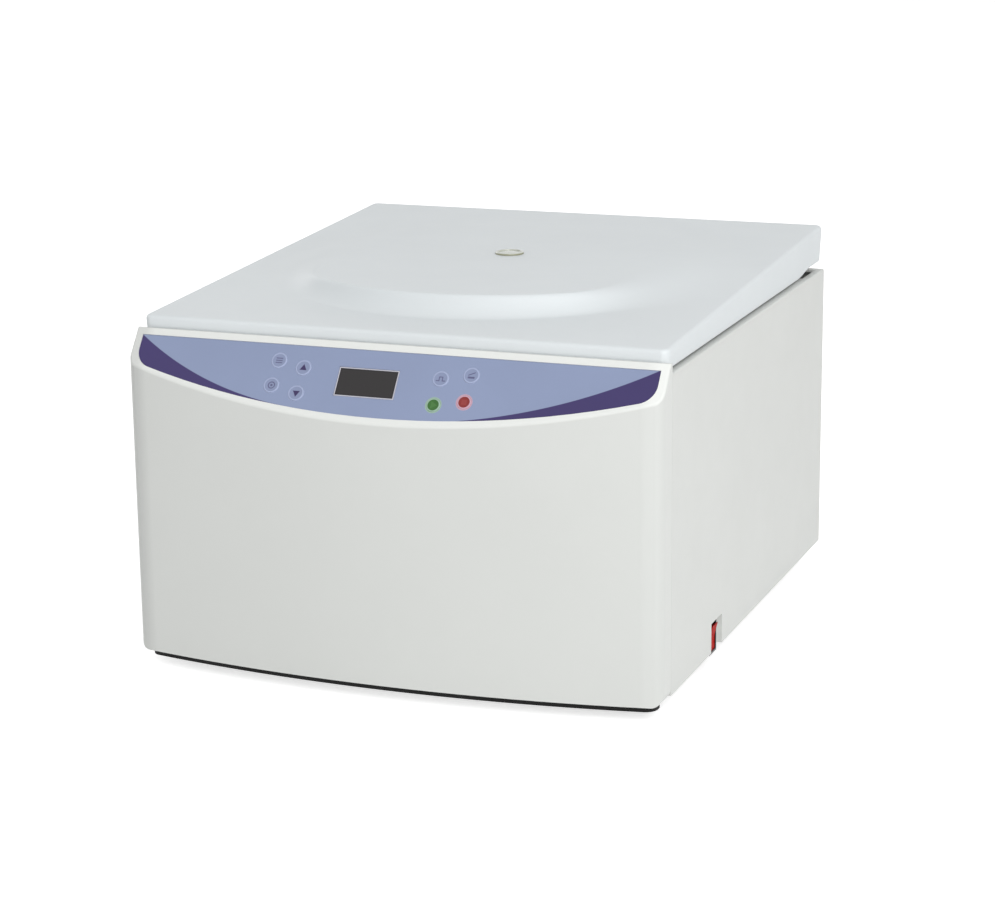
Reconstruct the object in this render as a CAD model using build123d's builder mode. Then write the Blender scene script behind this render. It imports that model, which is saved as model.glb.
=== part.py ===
from build123d import *
from math import cos, hypot, radians, sin, sqrt, tan
import os

os.makedirs("parts", exist_ok=True)

# A low bench-top centrifuge for microplates. Millimetres, +Z up, +X to the right, the front towards -Y.
# The origin lies on the bench, under the middle of the whole outline.

# Cabinet
case_width = 430.0
case_depth = 457.5  # the sides, from the front corner line to the rear face
front_bow = 21.0  # how far the middle of the front stands ahead of its corners
corner_radius = 8.0  # upright corners of the bezel
foot_height = 10.0
tray_lift = 6.0  # the sides' lower edge above the tray's underside
side_height = 243.5
sheet = 2.0  # painted steel sheet
seam_gap = 0.3
seat_gap = 0.3  # between a fixed piece and one that moves away from it
side_round = 1.4  # upper outer edges of the sides
tray_side_inset = 14.0
tray_front_setback = 15.0
tray_wall_height = 16.0

# Front bezel
bezel_wall = 3.0
bezel_drop = 3.0  # its lower edge below that of the sides
bezel_lower_round = 9.0
rim_rise = 7.7  # its upper rim above the deck
rim_round = 2.0
rim_gap = 0.8  # bezel to the lid's front edge
flange_height = 16.0
flange_wall = 2.5
skirt_front_inset = 5.0
skirt_side_inset = 7.0
skirt_height = 5.0
skirt_depth = 16.0
skirt_corner = 10.0

# Control panel, a plane that slants forward and down across the top of the bezel
panel_tilt = 37.2  # degrees from the vertical
panel_setback = 14.7  # upper edge of the overlay behind the corner line
panel_drop = 4.3  # upper edge of the overlay under the rim
overlay_side_margin = 6.5  # bezel left at each end of the overlay
overlay_mid_depth = 54.5
overlay_end_depth = 23.7
overlay_corner = 16.0
overlay_thickness = 1.0
overlay_recess = 1.6
key_radius = 6.1
action_key_radius = 5.3
key_gap = 0.3
key_travel = 0.5
key_end_gap = 0.1  # left under a key that is pressed home
key_proud = 0.4
stem_radius = 2.5
window_width = 48.7
window_height = 24.0
window_x = -14.85
window_down = 26.8
window_border = 1.5  # bezel left under each side of the window
board_length = 190.0
board_height = 38.0
board_x = -14.0
board_down = 27.0
board_thickness = 1.6
board_boss_height = 4.0
board_boss_radius = 3.0
stem_reach = 1.3  # key stems past the back of the bezel's wall
switch_dome_radius = 3.0
# name: (across, down the slope) on the panel
plain_keys = {"menu": (-89.3, 13.6), "select": (-90.6, 34.2), "pulse": (42.9, 19.0), "lid": (66.1, 14.5)}
arrow_keys = {"up": (-68.2, 18.2), "down": (-69.1, 39.1)}
action_keys = {"start": (41.7, 40.2), "stop": (65.1, 36.1)}

# Power switch, in a notch in the lower edge of the right side
notch_setback = 124.7
notch_width = 28.6
notch_height = 24.0
switch_width = 18.0
switch_height = 27.0
switch_body_depth = 20.0
switch_well_depth = 10.0
rocker_margin = 2.0  # switch frame around the rocker
rocker_face = 4.0  # rocker's ends ahead of its axis
rocker_pin_radius = 1.0
rocker_swing = 9.0  # degrees each way of level
rocker_shift = 3.0  # the switch stands this much ahead of the notch's middle
pocket_depth = 4.0
pocket_margin = 4.0  # sheet left around the notch in the pocket's floor

# Chamber and swing-out rotor
rotor_setback = 260.0  # rotor axis behind the front corner line
carrier_side_gap = 4.3  # bowl wall to the plate carriers as they swing out
carrier_floor_gap = 4.6
bowl_wall = 1.5
bowl_floor_round = 15.0
bowl_flange = 10.5
bowl_flange_thickness = 1.2
deck_hole_gap = 1.0
neck_radius = 34.0
swing_radius = 88.0  # rotor axis to trunnion pins
carrier_drop = 50.0  # pin to the underside of a plate carrier
carrier_headroom = 6.5  # under the lid, at full swing
carrier_width = 92.0
carrier_length = 134.0
carrier_wall = 2.5
carrier_wall_height = 28.0
carrier_corner = 6.0
ear_root_width = 56.0
ear_tip_radius = 9.0
pin_radius = 4.0
pin_clearance = 0.05
pin_reach = 1.5  # pins past the inside of the carrier ears
yoke_gap = 2.0
yoke_bar = 8.0
yoke_bar_height = 18.0
yoke_web_width = 54.0
yoke_web_height = 20.0
nut_radius = 14.0
nut_height = 17.0
hub_radius = 22.0
hub_height = 20.0
hub_chamfer = 5.5
nut_chamfer = 2.0
thread_length = 10.2  # shaft past the rotor's boss
boss_rise = 4.5  # boss above the pins' height
floor_slot_length = 23.0
floor_slot_width = 14.9
floor_slot_columns = 2
floor_slot_rows = 3

# Drive
shaft_radius = 7.5
running_gap = 0.03
fixed_gap = 0.05
bearing_radius = 17.5
bearing_width = 11.0
motor_radius = 55.0
motor_wall = 5.0
motor_floor = 6.0
motor_lift = 17.5  # motor above the tray
motor_gap = 0.8
stator_bore = 30.0
stator_room = 21.0  # motor's ends to the stator
winding_height = 5.0
motor_plate_size = 176.0
motor_plate_thickness = 6.0
boot_height = 15.5
boot_wall = 4.0
mount_pitch = 140.0
mount_radius = 15.0
mount_height = 30.0
post_radius = 8.0

# Lid
lid_side_inset = 3.5  # lid's edge inward of the cabinet's side
lid_setback = 21.6
lid_gap = 6.0  # deck to the underside of the lid
lid_front_thickness = 10.9
lid_slope = 2.62  # degrees, rising to the rear
lid_overhang = 8.3  # past the rear face of the cabinet
lid_bevel = 5.0
lid_wall = 3.0
lid_corner = 8.0
lid_edge_round = 3.5
liner_thickness = 2.0
plateau_radius = 167.0  # a level disc that stands out of the sloping lid towards the front
plateau_height = 7.7  # above the lid's slope, at the rotor's axis
plateau_flank = 45.0  # degrees
plateau_round = 4.0
port_radius = 13.0
port_shank_radius = 9.8
port_flange = 1.8
gasket_width = 4.5
hinge_spread = 130.0
hinge_length = 60.0
knuckle_radius = 3.2
hinge_pin_radius = 1.6
leaf_thickness = 1.5
leaf_width = 24.0
leaf_setback = 4.0  # hinge axis behind the rear face
hinge_drop = 3.5  # hinge axis under the lid's underside
knuckle_gap = 0.4
bumper_radius = 6.0
bumper_inset_x = 27.5
bumper_inset_y = 27.5

# Lid lock
striker_setback = 50.0
striker_thickness = 5.0
striker_width = 18.0
striker_length = 28.5
striker_flange = 15.0
striker_round = 4.0
striker_window = 10.5  # square hole for the bolt
striker_slot_gap = 1.2  # along the slot, each end
striker_side_gap = 2.5
bolt_radius = 3.6
bolt_chamfer = 0.9
bolt_gap = 0.1
bolt_travel = 12.0
bolt_rest_gap = 3.5
bolt_drop = 19.5  # bolt axis under the lid's underside
solenoid_length = 42.0
solenoid_size = 22.0
lock_sheet = 3.0
lock_width = 28.0

# Gas spring beside the chamber, on the right
spring_inset = 16.0  # axis inward of the cabinet's side
spring_stud_ahead = 45.0  # lid studs ahead of the hinge axis
spring_stud_drop = 8.0
spring_foot_ahead = 30.0
spring_foot_drop = 140.0
tube_radius = 7.0
tube_length = 94.0
tube_neck = 18.0  # eye to the tube's lower end
rod_length = 104.0
rod_radius = 3.5
rod_gap = 0.08
eye_radius = 6.0
eye_thickness = 8.0
stud_radius = 3.0
bracket_sheet = 3.0
slot_width = 20.0
slot_ahead = 9.0
slot_behind = 32.0

# Rear face
fan_size = 80.0
fan_depth = 25.0
fan_x = -60.0
fan_z = 80.0
fan_tip_gap = 1.5
fan_hub_radius = 16.0
fan_blades = 7
fan_pin_radius = 2.0
fan_hub_depth = 6.25
fan_struts = 3
fan_strut_width = 5.3
blade_width = 8.0
guard_wire = 1.2
guard_rings = 4
guard_reach = 54.4  # spokes' ends from the fan's axis
vent_rows = 7
vent_pitch = 10.0
vent_length = 70.0
vent_width = 4.0
vent_x = 95.0
vent_z = 165.0
inlet_x = 95.0
inlet_z = 62.0
inlet_flange_width = 50.0
inlet_flange_height = 25.0
inlet_flange_thickness = 3.0
inlet_body_width = 27.0
inlet_body_height = 19.5
inlet_body_depth = 50.0  # with the line filter
inlet_socket_width = 24.0
inlet_socket_height = 16.5
inlet_socket_depth = 16.0
inlet_pin_pitch = 7.0
inlet_pin_offset = 2.0  # middle pin above the middle, outer pins below it
inlet_pin_thickness = 2.0
inlet_pin_height = 4.0
inlet_pin_length = 12.0
fuse_x = 50.0
fuse_pitch = 24.0
fuse_radius = 6.0
fuse_cap_radius = 8.0
fuse_cap_height = 6.0
fuse_length = 28.0

# Electronics on the tray
board_stand = 8.0
stand_radius = 3.0
inverter_x = -100.0
inverter_length = 130.0
inverter_width = 90.0
capacitor_radius = 9.0
capacitor_height = 26.0
module_size = (44.0, 30.0, 16.0)
board_setback = 75.0  # circuit boards behind the front corner line
fin_count = 9
fin_height = 34.0
fin_thickness = 2.0
sink_length = 96.0
sink_width = 40.0
sink_base = 5.0

# Fasteners and feet
screw_radius = 3.0
screw_head = 1.6
rim_screw_radius = 2.4
rim_screw_count = 6
foot_radius = 14.0
foot_chamfer = 2.0
foot_inset_x = 55.0
foot_inset_y = 70.0
corner_post = 14.0
rear_post_inset = 49.0  # rear posts inward of the tray's walls
liner_screw_rear = 70.0
liner_screw_inset = 12.0

# Heights and depths that follow
tray_z = foot_height
tray_top = tray_z + sheet
side_z = tray_z + tray_lift
deck_z = side_z + side_height
rim_z = deck_z + rim_rise
bezel_z = side_z - bezel_drop
lid_z = deck_z + lid_gap
total_depth = front_bow + case_depth + lid_overhang
front_y = -total_depth / 2
corner_y = front_y + front_bow
rear_y = corner_y + case_depth
half_width = case_width / 2
overlay_half_width = half_width - overlay_side_margin
spring_x = half_width - spring_inset
rotor_y = corner_y + rotor_setback
seam_y = corner_y + lid_setback - rim_gap
tray_front = corner_y + tray_front_setback
tray_rear = rear_y - tray_side_inset
tray_half = half_width - tray_side_inset
carrier_reach = hypot(carrier_width / 2, carrier_drop)  # pin to the carrier's far lower corner
bowl_radius = hypot(swing_radius + carrier_reach, carrier_length / 2) + carrier_side_gap
pivot_z = lid_z - carrier_headroom - carrier_width / 2
bowl_z = pivot_z - carrier_reach - carrier_floor_gap
boot_z = bowl_z - bowl_wall - boot_height
plate_z = boot_z - motor_plate_thickness
motor_z = tray_top + motor_lift
stator_length = plate_z - motor_z - 2 * stator_room
lid_front = corner_y + lid_setback
lid_rear = rear_y + lid_overhang
lid_half = half_width - lid_side_inset
hinge_y = rear_y + leaf_setback
hinge_z = lid_z - hinge_drop
bow_radius = (half_width**2 + front_bow**2) / (2 * front_bow)
stud_y, stud_z = hinge_y - spring_stud_ahead, hinge_z - spring_stud_drop
heel_y, heel_z = hinge_y - spring_foot_ahead, hinge_z - spring_foot_drop
spring_length = hypot(stud_y - heel_y, stud_z - heel_z)
mount_places = [(sx * mount_pitch / 2, rotor_y + sy * mount_pitch / 2) for sx in (-1, 1) for sy in (-1, 1)]
mount_z = plate_z - mount_height
board_y = corner_y + board_setback
board_z = tray_top + board_stand
stand_reach = (inverter_length / 2 - 2 * stand_radius, inverter_width / 2 - 2 * stand_radius)
stand_places = [(inverter_x + sx * stand_reach[0], board_y + sy * stand_reach[1])
                for sx in (-1, 1) for sy in (-1, 1)]
notch_y = corner_y + notch_setback
switch_y = notch_y + notch_width / 2 - rocker_shift
switch_z = side_z + notch_height - switch_height / 2

panel = Plane(
    origin=(0, corner_y + panel_setback, rim_z - panel_drop),
    x_dir=(1, 0, 0),
    z_dir=(0, -cos(radians(panel_tilt)), sin(radians(panel_tilt))),
)


def finish(piece, node):
    piece.part.label = node
    export_step(piece.part, f"parts/{node}.step")


def block(x_span, y_span, z_span, mode=Mode.ADD):
    # A box between pairs of limits.
    spans = (x_span, y_span, z_span)
    with Locations(tuple((low + high) / 2 for low, high in spans)):
        Box(*(high - low for low, high in spans), mode=mode)


def drum(x, y, z_span, radius, mode=Mode.ADD):
    # An upright cylinder.
    with Locations((x, y, sum(z_span) / 2)):
        Cylinder(radius, z_span[1] - z_span[0], mode=mode)


def bar_x(x_span, y, z, radius, mode=Mode.ADD):
    # A cylinder that lies along X.
    with Locations(Location((sum(x_span) / 2, y, z), (0, 90, 0))):
        Cylinder(radius, x_span[1] - x_span[0], mode=mode)


def bar_y(x, y_span, z, radius, mode=Mode.ADD):
    # A cylinder that lies along Y.
    with Locations(Location((x, sum(y_span) / 2, z), (90, 0, 0))):
        Cylinder(radius, y_span[1] - y_span[0], mode=mode)


def bow_plan(inset, back_y, corner, side_inset=None):
    # The bowed plan of the front, moved in from the cabinet's face and closed by a straight back.
    half = half_width - (inset if side_inset is None else side_inset)
    radius = bow_radius - inset
    side_y = front_y + bow_radius - sqrt(radius**2 - half**2)
    with BuildSketch() as plan:
        with BuildLine():
            ThreePointArc((-half, side_y), (0, front_y + inset), (half, side_y))
            Polyline((half, side_y), (half, back_y), (-half, back_y), (-half, side_y))
        make_face()
        fillet(plan.vertices().group_by(Axis.Y)[0], corner)
    return plan.sketch


# ---- Base and feet ----

with BuildPart() as base_tray:
    block((-tray_half, tray_half), (tray_front, tray_rear), (tray_z, tray_z + tray_wall_height))
    inner = tray_half - sheet
    inner_span = (tray_front + sheet, tray_rear - sheet)
    block((-inner, inner), inner_span, (tray_top, tray_z + tray_wall_height), Mode.SUBTRACT)
    switch_gap = (switch_y - switch_width / 2, switch_y + switch_width / 2)
    block((inner, tray_half), switch_gap, (tray_top, tray_z + tray_wall_height), Mode.SUBTRACT)
    for x, y in stand_places:
        drum(x, y, (tray_top, board_z), stand_radius)
    for x, y in mount_places:
        drum(x, y, (tray_top, mount_z), post_radius)
finish(base_tray, "base_tray")

foot_xs = (-half_width + foot_inset_x, half_width - foot_inset_x)
foot_ys = (corner_y + foot_inset_y, rear_y - foot_inset_y)
with BuildPart() as rubber_feet:
    for foot_x in foot_xs:
        for foot_y in foot_ys:
            drum(foot_x, foot_y, (0, foot_height), foot_radius)
    chamfer(rubber_feet.faces().group_by(Axis.Z)[0].edges(), foot_chamfer)
finish(rubber_feet, "rubber_feet")

post_half = corner_post / 2
front_post_x = tray_half - sheet - corner_post
rear_post_x = tray_half - sheet - rear_post_inset
front_post_y = corner_y + lid_setback + corner_post
rear_post_y = tray_rear - sheet - corner_post
post_places = [(side * x, y) for side in (-1, 1)
               for x, y in ((front_post_x, front_post_y), (rear_post_x, rear_post_y))]
with BuildPart() as frame_posts:
    for x, y in post_places:
        x_span = (x - post_half, x + post_half)
        block(x_span, (y - post_half, y + post_half), (tray_top, deck_z - sheet))
finish(frame_posts, "frame_posts")

# ---- Cabinet panels ----

side_span = (seam_y + seam_gap, rear_y)
pocket_x = half_width - pocket_depth
pocket_span = (notch_y - pocket_margin, notch_y + notch_width + pocket_margin)
pocket_rise = (side_z, side_z + notch_height + pocket_margin)
hole_span = (switch_y - switch_width / 2 + seam_gap, switch_y + switch_width / 2 - seam_gap)
hole_top = switch_z + switch_height / 2 - seam_gap
notch_span = (notch_y, notch_y + notch_width)
notch_rise = (side_z, side_z + notch_height)
for side, node in ((-1, "left_side_panel"), (1, "right_side_panel")):
    with BuildPart() as side_panel:
        block(sorted((side * (half_width - sheet), side * half_width)), side_span, (side_z, deck_z))
        outer_edges = side_panel.edges().filter_by(Axis.Y).group_by(Axis.Z)[-1]
        fillet(outer_edges.sort_by(Axis.X)[-1 if side > 0 else 0], side_round)
        flange = sorted((side * tray_half, side * (half_width - sheet)))
        block(flange, (side_span[0], tray_rear), (side_z, side_z + sheet))
        if side > 0:
            block((tray_half, half_width), notch_span, notch_rise, Mode.SUBTRACT)
            block((pocket_x - sheet, half_width - sheet), pocket_span, pocket_rise)
            block((pocket_x, half_width - sheet), notch_span, notch_rise, Mode.SUBTRACT)
            block((pocket_x - sheet, pocket_x), hole_span, (side_z, hole_top), Mode.SUBTRACT)
            boss_span = (spring_x + eye_thickness / 2 + seat_gap, half_width - sheet)
            bar_x(boss_span, heel_y, heel_z, eye_radius + stud_radius)
    finish(side_panel, node)

inner_half = half_width - sheet
rear_span = (rear_y - sheet, rear_y)
fan_radius = fan_size / 2 - sheet
fuse_heights = (inlet_z - fuse_pitch / 2, inlet_z + fuse_pitch / 2)
with BuildPart() as rear_panel:
    block((-inner_half, inner_half), rear_span, (side_z, deck_z - sheet))
    block((-tray_half, tray_half), (tray_rear, rear_y - sheet), (side_z, side_z + sheet))
    bar_y(fan_x, rear_span, fan_z, fan_radius, Mode.SUBTRACT)
    inlet_half = inlet_body_width / 2 + seam_gap
    inlet_rise = inlet_body_height / 2 + seam_gap
    inlet_span = (inlet_x - inlet_half, inlet_x + inlet_half)
    block(inlet_span, rear_span, (inlet_z - inlet_rise, inlet_z + inlet_rise), Mode.SUBTRACT)
    for fuse_z in fuse_heights:
        bar_y(fuse_x, rear_span, fuse_z, fuse_radius + seam_gap, Mode.SUBTRACT)
    with BuildSketch(Plane.XZ.offset(-rear_y)):
        with Locations((vent_x, vent_z), (-vent_x, vent_z)):
            with GridLocations(vent_length, vent_pitch, 1, vent_rows):
                SlotOverall(vent_length, vent_width)
    extrude(amount=sheet, mode=Mode.SUBTRACT)
finish(rear_panel, "rear_panel")

slot_y = (stud_y - slot_ahead, stud_y + slot_behind)
striker_y = corner_y + striker_setback
striker_reach = striker_width / 2 + striker_slot_gap
striker_slot = (striker_y - striker_reach, striker_y + striker_reach)
striker_room = striker_thickness / 2 + striker_side_gap
with BuildPart() as top_deck:
    block((-inner_half, inner_half), (seam_y + seam_gap, rear_y), (deck_z - sheet, deck_z))
    drum(0, rotor_y, (deck_z - sheet, deck_z), bowl_radius + bowl_wall + deck_hole_gap, Mode.SUBTRACT)
    slot_x = (spring_x - slot_width / 2, spring_x + slot_width / 2)
    block(slot_x, slot_y, (deck_z - sheet, deck_z), Mode.SUBTRACT)
    block((-striker_room, striker_room), striker_slot, (deck_z - sheet, deck_z), Mode.SUBTRACT)
finish(top_deck, "top_deck")

# ---- Front bezel with the control panel ----


def overlay_face():
    with BuildSketch() as outline:
        with BuildLine():
            left_end = (-overlay_half_width, -overlay_end_depth)
            right_end = (overlay_half_width, -overlay_end_depth)
            ThreePointArc(left_end, (0, -overlay_mid_depth), right_end)
            Polyline(right_end, (overlay_half_width, 0), (-overlay_half_width, 0), left_end)
        make_face()
        fillet(outline.vertices().group_by(Axis.Y)[0], overlay_corner)
    return outline.sketch


key_places = {name: (place, key_radius) for name, place in {**plain_keys, **arrow_keys}.items()}
key_places.update({name: (place, action_key_radius) for name, place in action_keys.items()})
recess_floor = panel.offset(-overlay_recess)
wall_back = -overlay_recess - bezel_wall
boss_end = wall_back - board_boss_height
board_places = [(board_x + sx * (board_length / 2 - 2 * board_boss_radius),
                 -board_down + sy * (board_height / 2 - 2 * board_boss_radius))
                for sx in (-1, 1) for sy in (-1, 1)]

core_plan = bow_plan(bezel_wall, seam_y + bezel_wall, corner_radius - bezel_wall)
with BuildPart() as bezel_core:
    with BuildSketch(Plane.XY.offset(bezel_z + sheet)):
        add(core_plan)
    extrude(amount=rim_z - bezel_wall - bezel_z - sheet)
    split(bisect_by=panel.offset(wall_back), keep=Keep.BOTTOM)

bezel_plan = bow_plan(0, seam_y, corner_radius)
overlay_plan = overlay_face()
with BuildPart() as front_bezel:
    with BuildSketch(Plane.XY.offset(bezel_z)):
        add(bezel_plan)
    extrude(amount=rim_z - bezel_z)
    with BuildSketch(Plane.XZ.offset(-seam_y)) as elevation:
        with Locations((0, (rim_z + bezel_z) / 2)):
            Rectangle(case_width, rim_z - bezel_z)
        fillet(elevation.vertices().group_by(Axis.Y)[0], bezel_lower_round)
    extrude(amount=total_depth, mode=Mode.INTERSECT)
    split(bisect_by=panel, keep=Keep.BOTTOM)
    face = front_bezel.faces().sort_by(lambda f: f.normal_at().dot(panel.z_dir))[-1]
    fillet(face.edges().sort_by(Axis.Z)[:-1], rim_round)
    with BuildSketch(panel):
        add(overlay_plan)
    extrude(amount=-overlay_recess, mode=Mode.SUBTRACT)
    add(bezel_core.part, mode=Mode.SUBTRACT)
    block((-inner_half + bezel_wall, inner_half - bezel_wall), (tray_front - seam_gap, seam_y + bezel_wall),
          (bezel_z, bezel_z + sheet), Mode.SUBTRACT)
    block((-half_width + bezel_wall, half_width - bezel_wall), (seam_y - flange_wall, seam_y),
          (rim_z - flange_height, rim_z - bezel_wall))
    with BuildSketch(recess_floor):
        with Locations((window_x, -window_down)):
            Rectangle(window_width - 2 * window_border, window_height - 2 * window_border)
        for place, radius in key_places.values():
            with Locations((place[0], -place[1])):
                Circle(stem_radius + key_gap)
    extrude(amount=-bezel_wall, mode=Mode.SUBTRACT)
    with BuildSketch(panel.offset(wall_back)):
        with Locations(*board_places):
            Circle(board_boss_radius)
    extrude(amount=-board_boss_height)
finish(front_bezel, "front_bezel")

skirt_back = corner_y + skirt_depth
skirt_plan = bow_plan(skirt_front_inset, skirt_back, skirt_corner, skirt_side_inset)
skirt_space = bow_plan(skirt_front_inset + bezel_wall, skirt_back + bezel_wall, skirt_corner - bezel_wall,
                       skirt_side_inset + bezel_wall)
with BuildPart() as front_skirt:
    with BuildSketch(Plane.XY.offset(bezel_z - skirt_height)):
        add(skirt_plan)
        add(skirt_space, mode=Mode.SUBTRACT)
    extrude(amount=skirt_height)
finish(front_skirt, "front_skirt")

inset_overlay = offset(overlay_face(), -seam_gap / 3)
with BuildPart() as control_overlay:
    with BuildSketch(recess_floor):
        add(inset_overlay)
        with Locations((window_x, -window_down)):
            Rectangle(window_width, window_height, mode=Mode.SUBTRACT)
        for place, radius in key_places.values():
            with Locations((place[0], -place[1])):
                Circle(radius + key_gap, mode=Mode.SUBTRACT)
    extrude(amount=overlay_thickness)
finish(control_overlay, "control_overlay")

cap_floor = key_travel + key_end_gap
cap_height = overlay_thickness + key_proud - cap_floor
stem_length = cap_floor + bezel_wall + stem_reach
for name, (place, radius) in key_places.items():
    with BuildPart() as key:
        with BuildSketch(recess_floor.offset(cap_floor)):
            with Locations((place[0], -place[1])):
                Circle(radius)
        extrude(amount=cap_height)
        fillet(key.faces().sort_by(lambda f: f.normal_at().dot(panel.z_dir))[-1].edges(), cap_height / 3)
        with BuildSketch(recess_floor.offset(cap_floor)):
            with Locations((place[0], -place[1])):
                Circle(stem_radius)
        extrude(amount=-stem_length)
    finish(key, f"{name}_key")

with BuildPart() as display_window:
    with BuildSketch(recess_floor):
        with Locations((window_x, -window_down)):
            Rectangle(window_width - seam_gap, window_height - seam_gap)
    extrude(amount=overlay_thickness)
finish(display_window, "display_window")

stem_end = cap_floor - stem_length - overlay_recess
dome_height = stem_end - cap_floor - boss_end
with BuildPart() as control_board:
    with BuildSketch(panel.offset(boss_end - board_thickness)):
        with Locations((board_x, -board_down)):
            Rectangle(board_length, board_height)
    extrude(amount=board_thickness)
    with BuildSketch(panel.offset(boss_end)):
        for place, radius in key_places.values():
            with Locations((place[0], -place[1])):
                Circle(switch_dome_radius)
    extrude(amount=dome_height)
    with BuildSketch(panel.offset(boss_end)):
        with Locations((window_x, -window_down)):
            Rectangle(window_width, window_height)
    extrude(amount=board_boss_height - seam_gap)
finish(control_board, "control_board")

# ---- Power switch ----

rocker_half_y = switch_width / 2 - rocker_margin
rocker_half_z = switch_height / 2 - rocker_margin
rocker_x = pocket_x - rocker_margin
with BuildPart() as switch_housing:
    block((pocket_x, pocket_x + rocker_margin), (switch_y - switch_width / 2, switch_y + switch_width / 2),
          (switch_z - switch_height / 2, switch_z + switch_height / 2))
    body_span = (hole_span[0] + seam_gap, hole_span[1] - seam_gap)
    block((pocket_x - switch_body_depth, pocket_x), body_span,
          (side_z + sheet, hole_top - seam_gap))
    well = (switch_y - rocker_half_y - seam_gap, switch_y + rocker_half_y + seam_gap)
    block((pocket_x - switch_well_depth, pocket_x + rocker_margin), well,
          (switch_z - rocker_half_z - seam_gap, switch_z + rocker_half_z + seam_gap), Mode.SUBTRACT)
    for end in (-1, 1):
        inner_y, outer_y = switch_y + end * rocker_half_y, switch_y + end * (rocker_half_y + seam_gap)
        bar_y(rocker_x, sorted((inner_y - end * rocker_pin_radius, outer_y)), switch_z, rocker_pin_radius)
finish(switch_housing, "switch_housing")

with BuildPart() as power_rocker:
    with BuildSketch(Plane.XZ.offset(-switch_y)):
        with BuildLine():
            rise = rocker_half_z - 2 * seam_gap
            waist, root = rocker_face - rocker_pin_radius, rocker_half_z / 2
            ThreePointArc((rocker_face, rise), (waist, 0), (rocker_face, -rise))
            Polyline((rocker_face, -rise), (-rocker_margin, -root), (-rocker_margin, root), (rocker_face, rise))
        make_face()
    extrude(amount=rocker_half_y, both=True)
    bore_radius = rocker_pin_radius + pin_clearance
    bar_y(0, (switch_y - rocker_half_y, switch_y + rocker_half_y), 0, bore_radius, Mode.SUBTRACT)
tilted = Pos(rocker_x, 0, switch_z) * Rot(0, rocker_swing, 0) * power_rocker.part
tilted.label = "power_rocker"
export_step(tilted, "parts/power_rocker.step")


# ---- Chamber ----

bowl_outer = bowl_radius + bowl_wall
rim_outer = bowl_outer + bowl_flange
rim_top = deck_z + bowl_flange_thickness
with BuildPart() as chamber_bowl:
    with BuildSketch(Plane.XZ.offset(-rotor_y)) as bowl_profile:
        with BuildLine():
            under = bowl_z - bowl_wall
            Polyline((neck_radius, under), (bowl_outer, under), (bowl_outer, deck_z), (rim_outer, deck_z),
                     (rim_outer, rim_top), (bowl_radius, rim_top), (bowl_radius, bowl_z),
                     (neck_radius, bowl_z), close=True)
        make_face()
        corners = bowl_profile.vertices()
        fillet(corners.filter_by(lambda v: abs(v.X - bowl_outer) < seam_gap).sort_by(Axis.Y)[0],
               bowl_floor_round + bowl_wall)
        corners = bowl_profile.vertices()
        fillet(corners.filter_by(lambda v: abs(v.X - bowl_radius) < seam_gap).sort_by(Axis.Y)[0],
               bowl_floor_round)
    revolve(axis=Axis((0, rotor_y, 0), (0, 0, 1)))
finish(chamber_bowl, "chamber_bowl")

with BuildPart() as chamber_gasket:
    gasket_span = (rim_top, lid_z - seat_gap)
    drum(0, rotor_y, gasket_span, bowl_outer + gasket_width)
    drum(0, rotor_y, gasket_span, bowl_outer, Mode.SUBTRACT)
finish(chamber_gasket, "chamber_gasket")

with BuildPart() as neck_boot:
    boot_span = (boot_z, bowl_z - bowl_wall)
    drum(0, rotor_y, boot_span, neck_radius + boot_wall)
    drum(0, rotor_y, boot_span, neck_radius - boot_wall, Mode.SUBTRACT)
finish(neck_boot, "neck_boot")

# ---- Drive ----

with BuildPart() as shock_mounts:
    with Locations(*[(x, y, mount_z) for x, y in mount_places]):
        Cylinder(mount_radius, mount_height, align=(Align.CENTER, Align.CENTER, Align.MIN))
finish(shock_mounts, "shock_mounts")

seat_radius = bearing_radius + motor_wall
with BuildPart() as motor_plate:
    with BuildSketch(Plane.XY.offset(plate_z)):
        with Locations((0, rotor_y)):
            RectangleRounded(motor_plate_size, motor_plate_size, mount_radius)
    extrude(amount=motor_plate_thickness)
    drum(0, rotor_y, (plate_z - bearing_width, plate_z), seat_radius)
    drum(0, rotor_y, (plate_z - bearing_width, plate_z), bearing_radius + fixed_gap, Mode.SUBTRACT)
    drum(0, rotor_y, (plate_z, boot_z), bearing_radius - motor_wall, Mode.SUBTRACT)
finish(motor_plate, "motor_plate")

motor_inner = motor_radius - motor_wall
motor_base = motor_z + motor_floor
with BuildPart() as motor_housing:
    drum(0, rotor_y, (motor_z, plate_z), motor_radius)
    drum(0, rotor_y, (motor_base, plate_z), motor_inner, Mode.SUBTRACT)
    drum(0, rotor_y, (motor_base, motor_base + bearing_width), seat_radius)
    drum(0, rotor_y, (motor_base, motor_base + bearing_width), bearing_radius + fixed_gap, Mode.SUBTRACT)
finish(motor_housing, "motor_housing")

with BuildPart() as motor_bearings:
    for low in (motor_base, plate_z - bearing_width):
        drum(0, rotor_y, (low, low + bearing_width), bearing_radius)
    drum(0, rotor_y, (motor_base, plate_z), shaft_radius + running_gap, Mode.SUBTRACT)
finish(motor_bearings, "motor_bearings")

stator_mid = (motor_base + plate_z) / 2
stator_span = (stator_mid - stator_length / 2, stator_mid + stator_length / 2)
with BuildPart() as motor_stator:
    drum(0, rotor_y, stator_span, motor_inner - fixed_gap)
    for end in (-1, 1):
        z_edge = stator_mid + end * stator_length / 2
        drum(0, rotor_y, sorted((z_edge, z_edge + end * winding_height)), motor_inner - motor_wall)
    bore_span = (stator_span[0] - winding_height, stator_span[1] + winding_height)
    drum(0, rotor_y, bore_span, stator_bore, Mode.SUBTRACT)
finish(motor_stator, "motor_stator")

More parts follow.
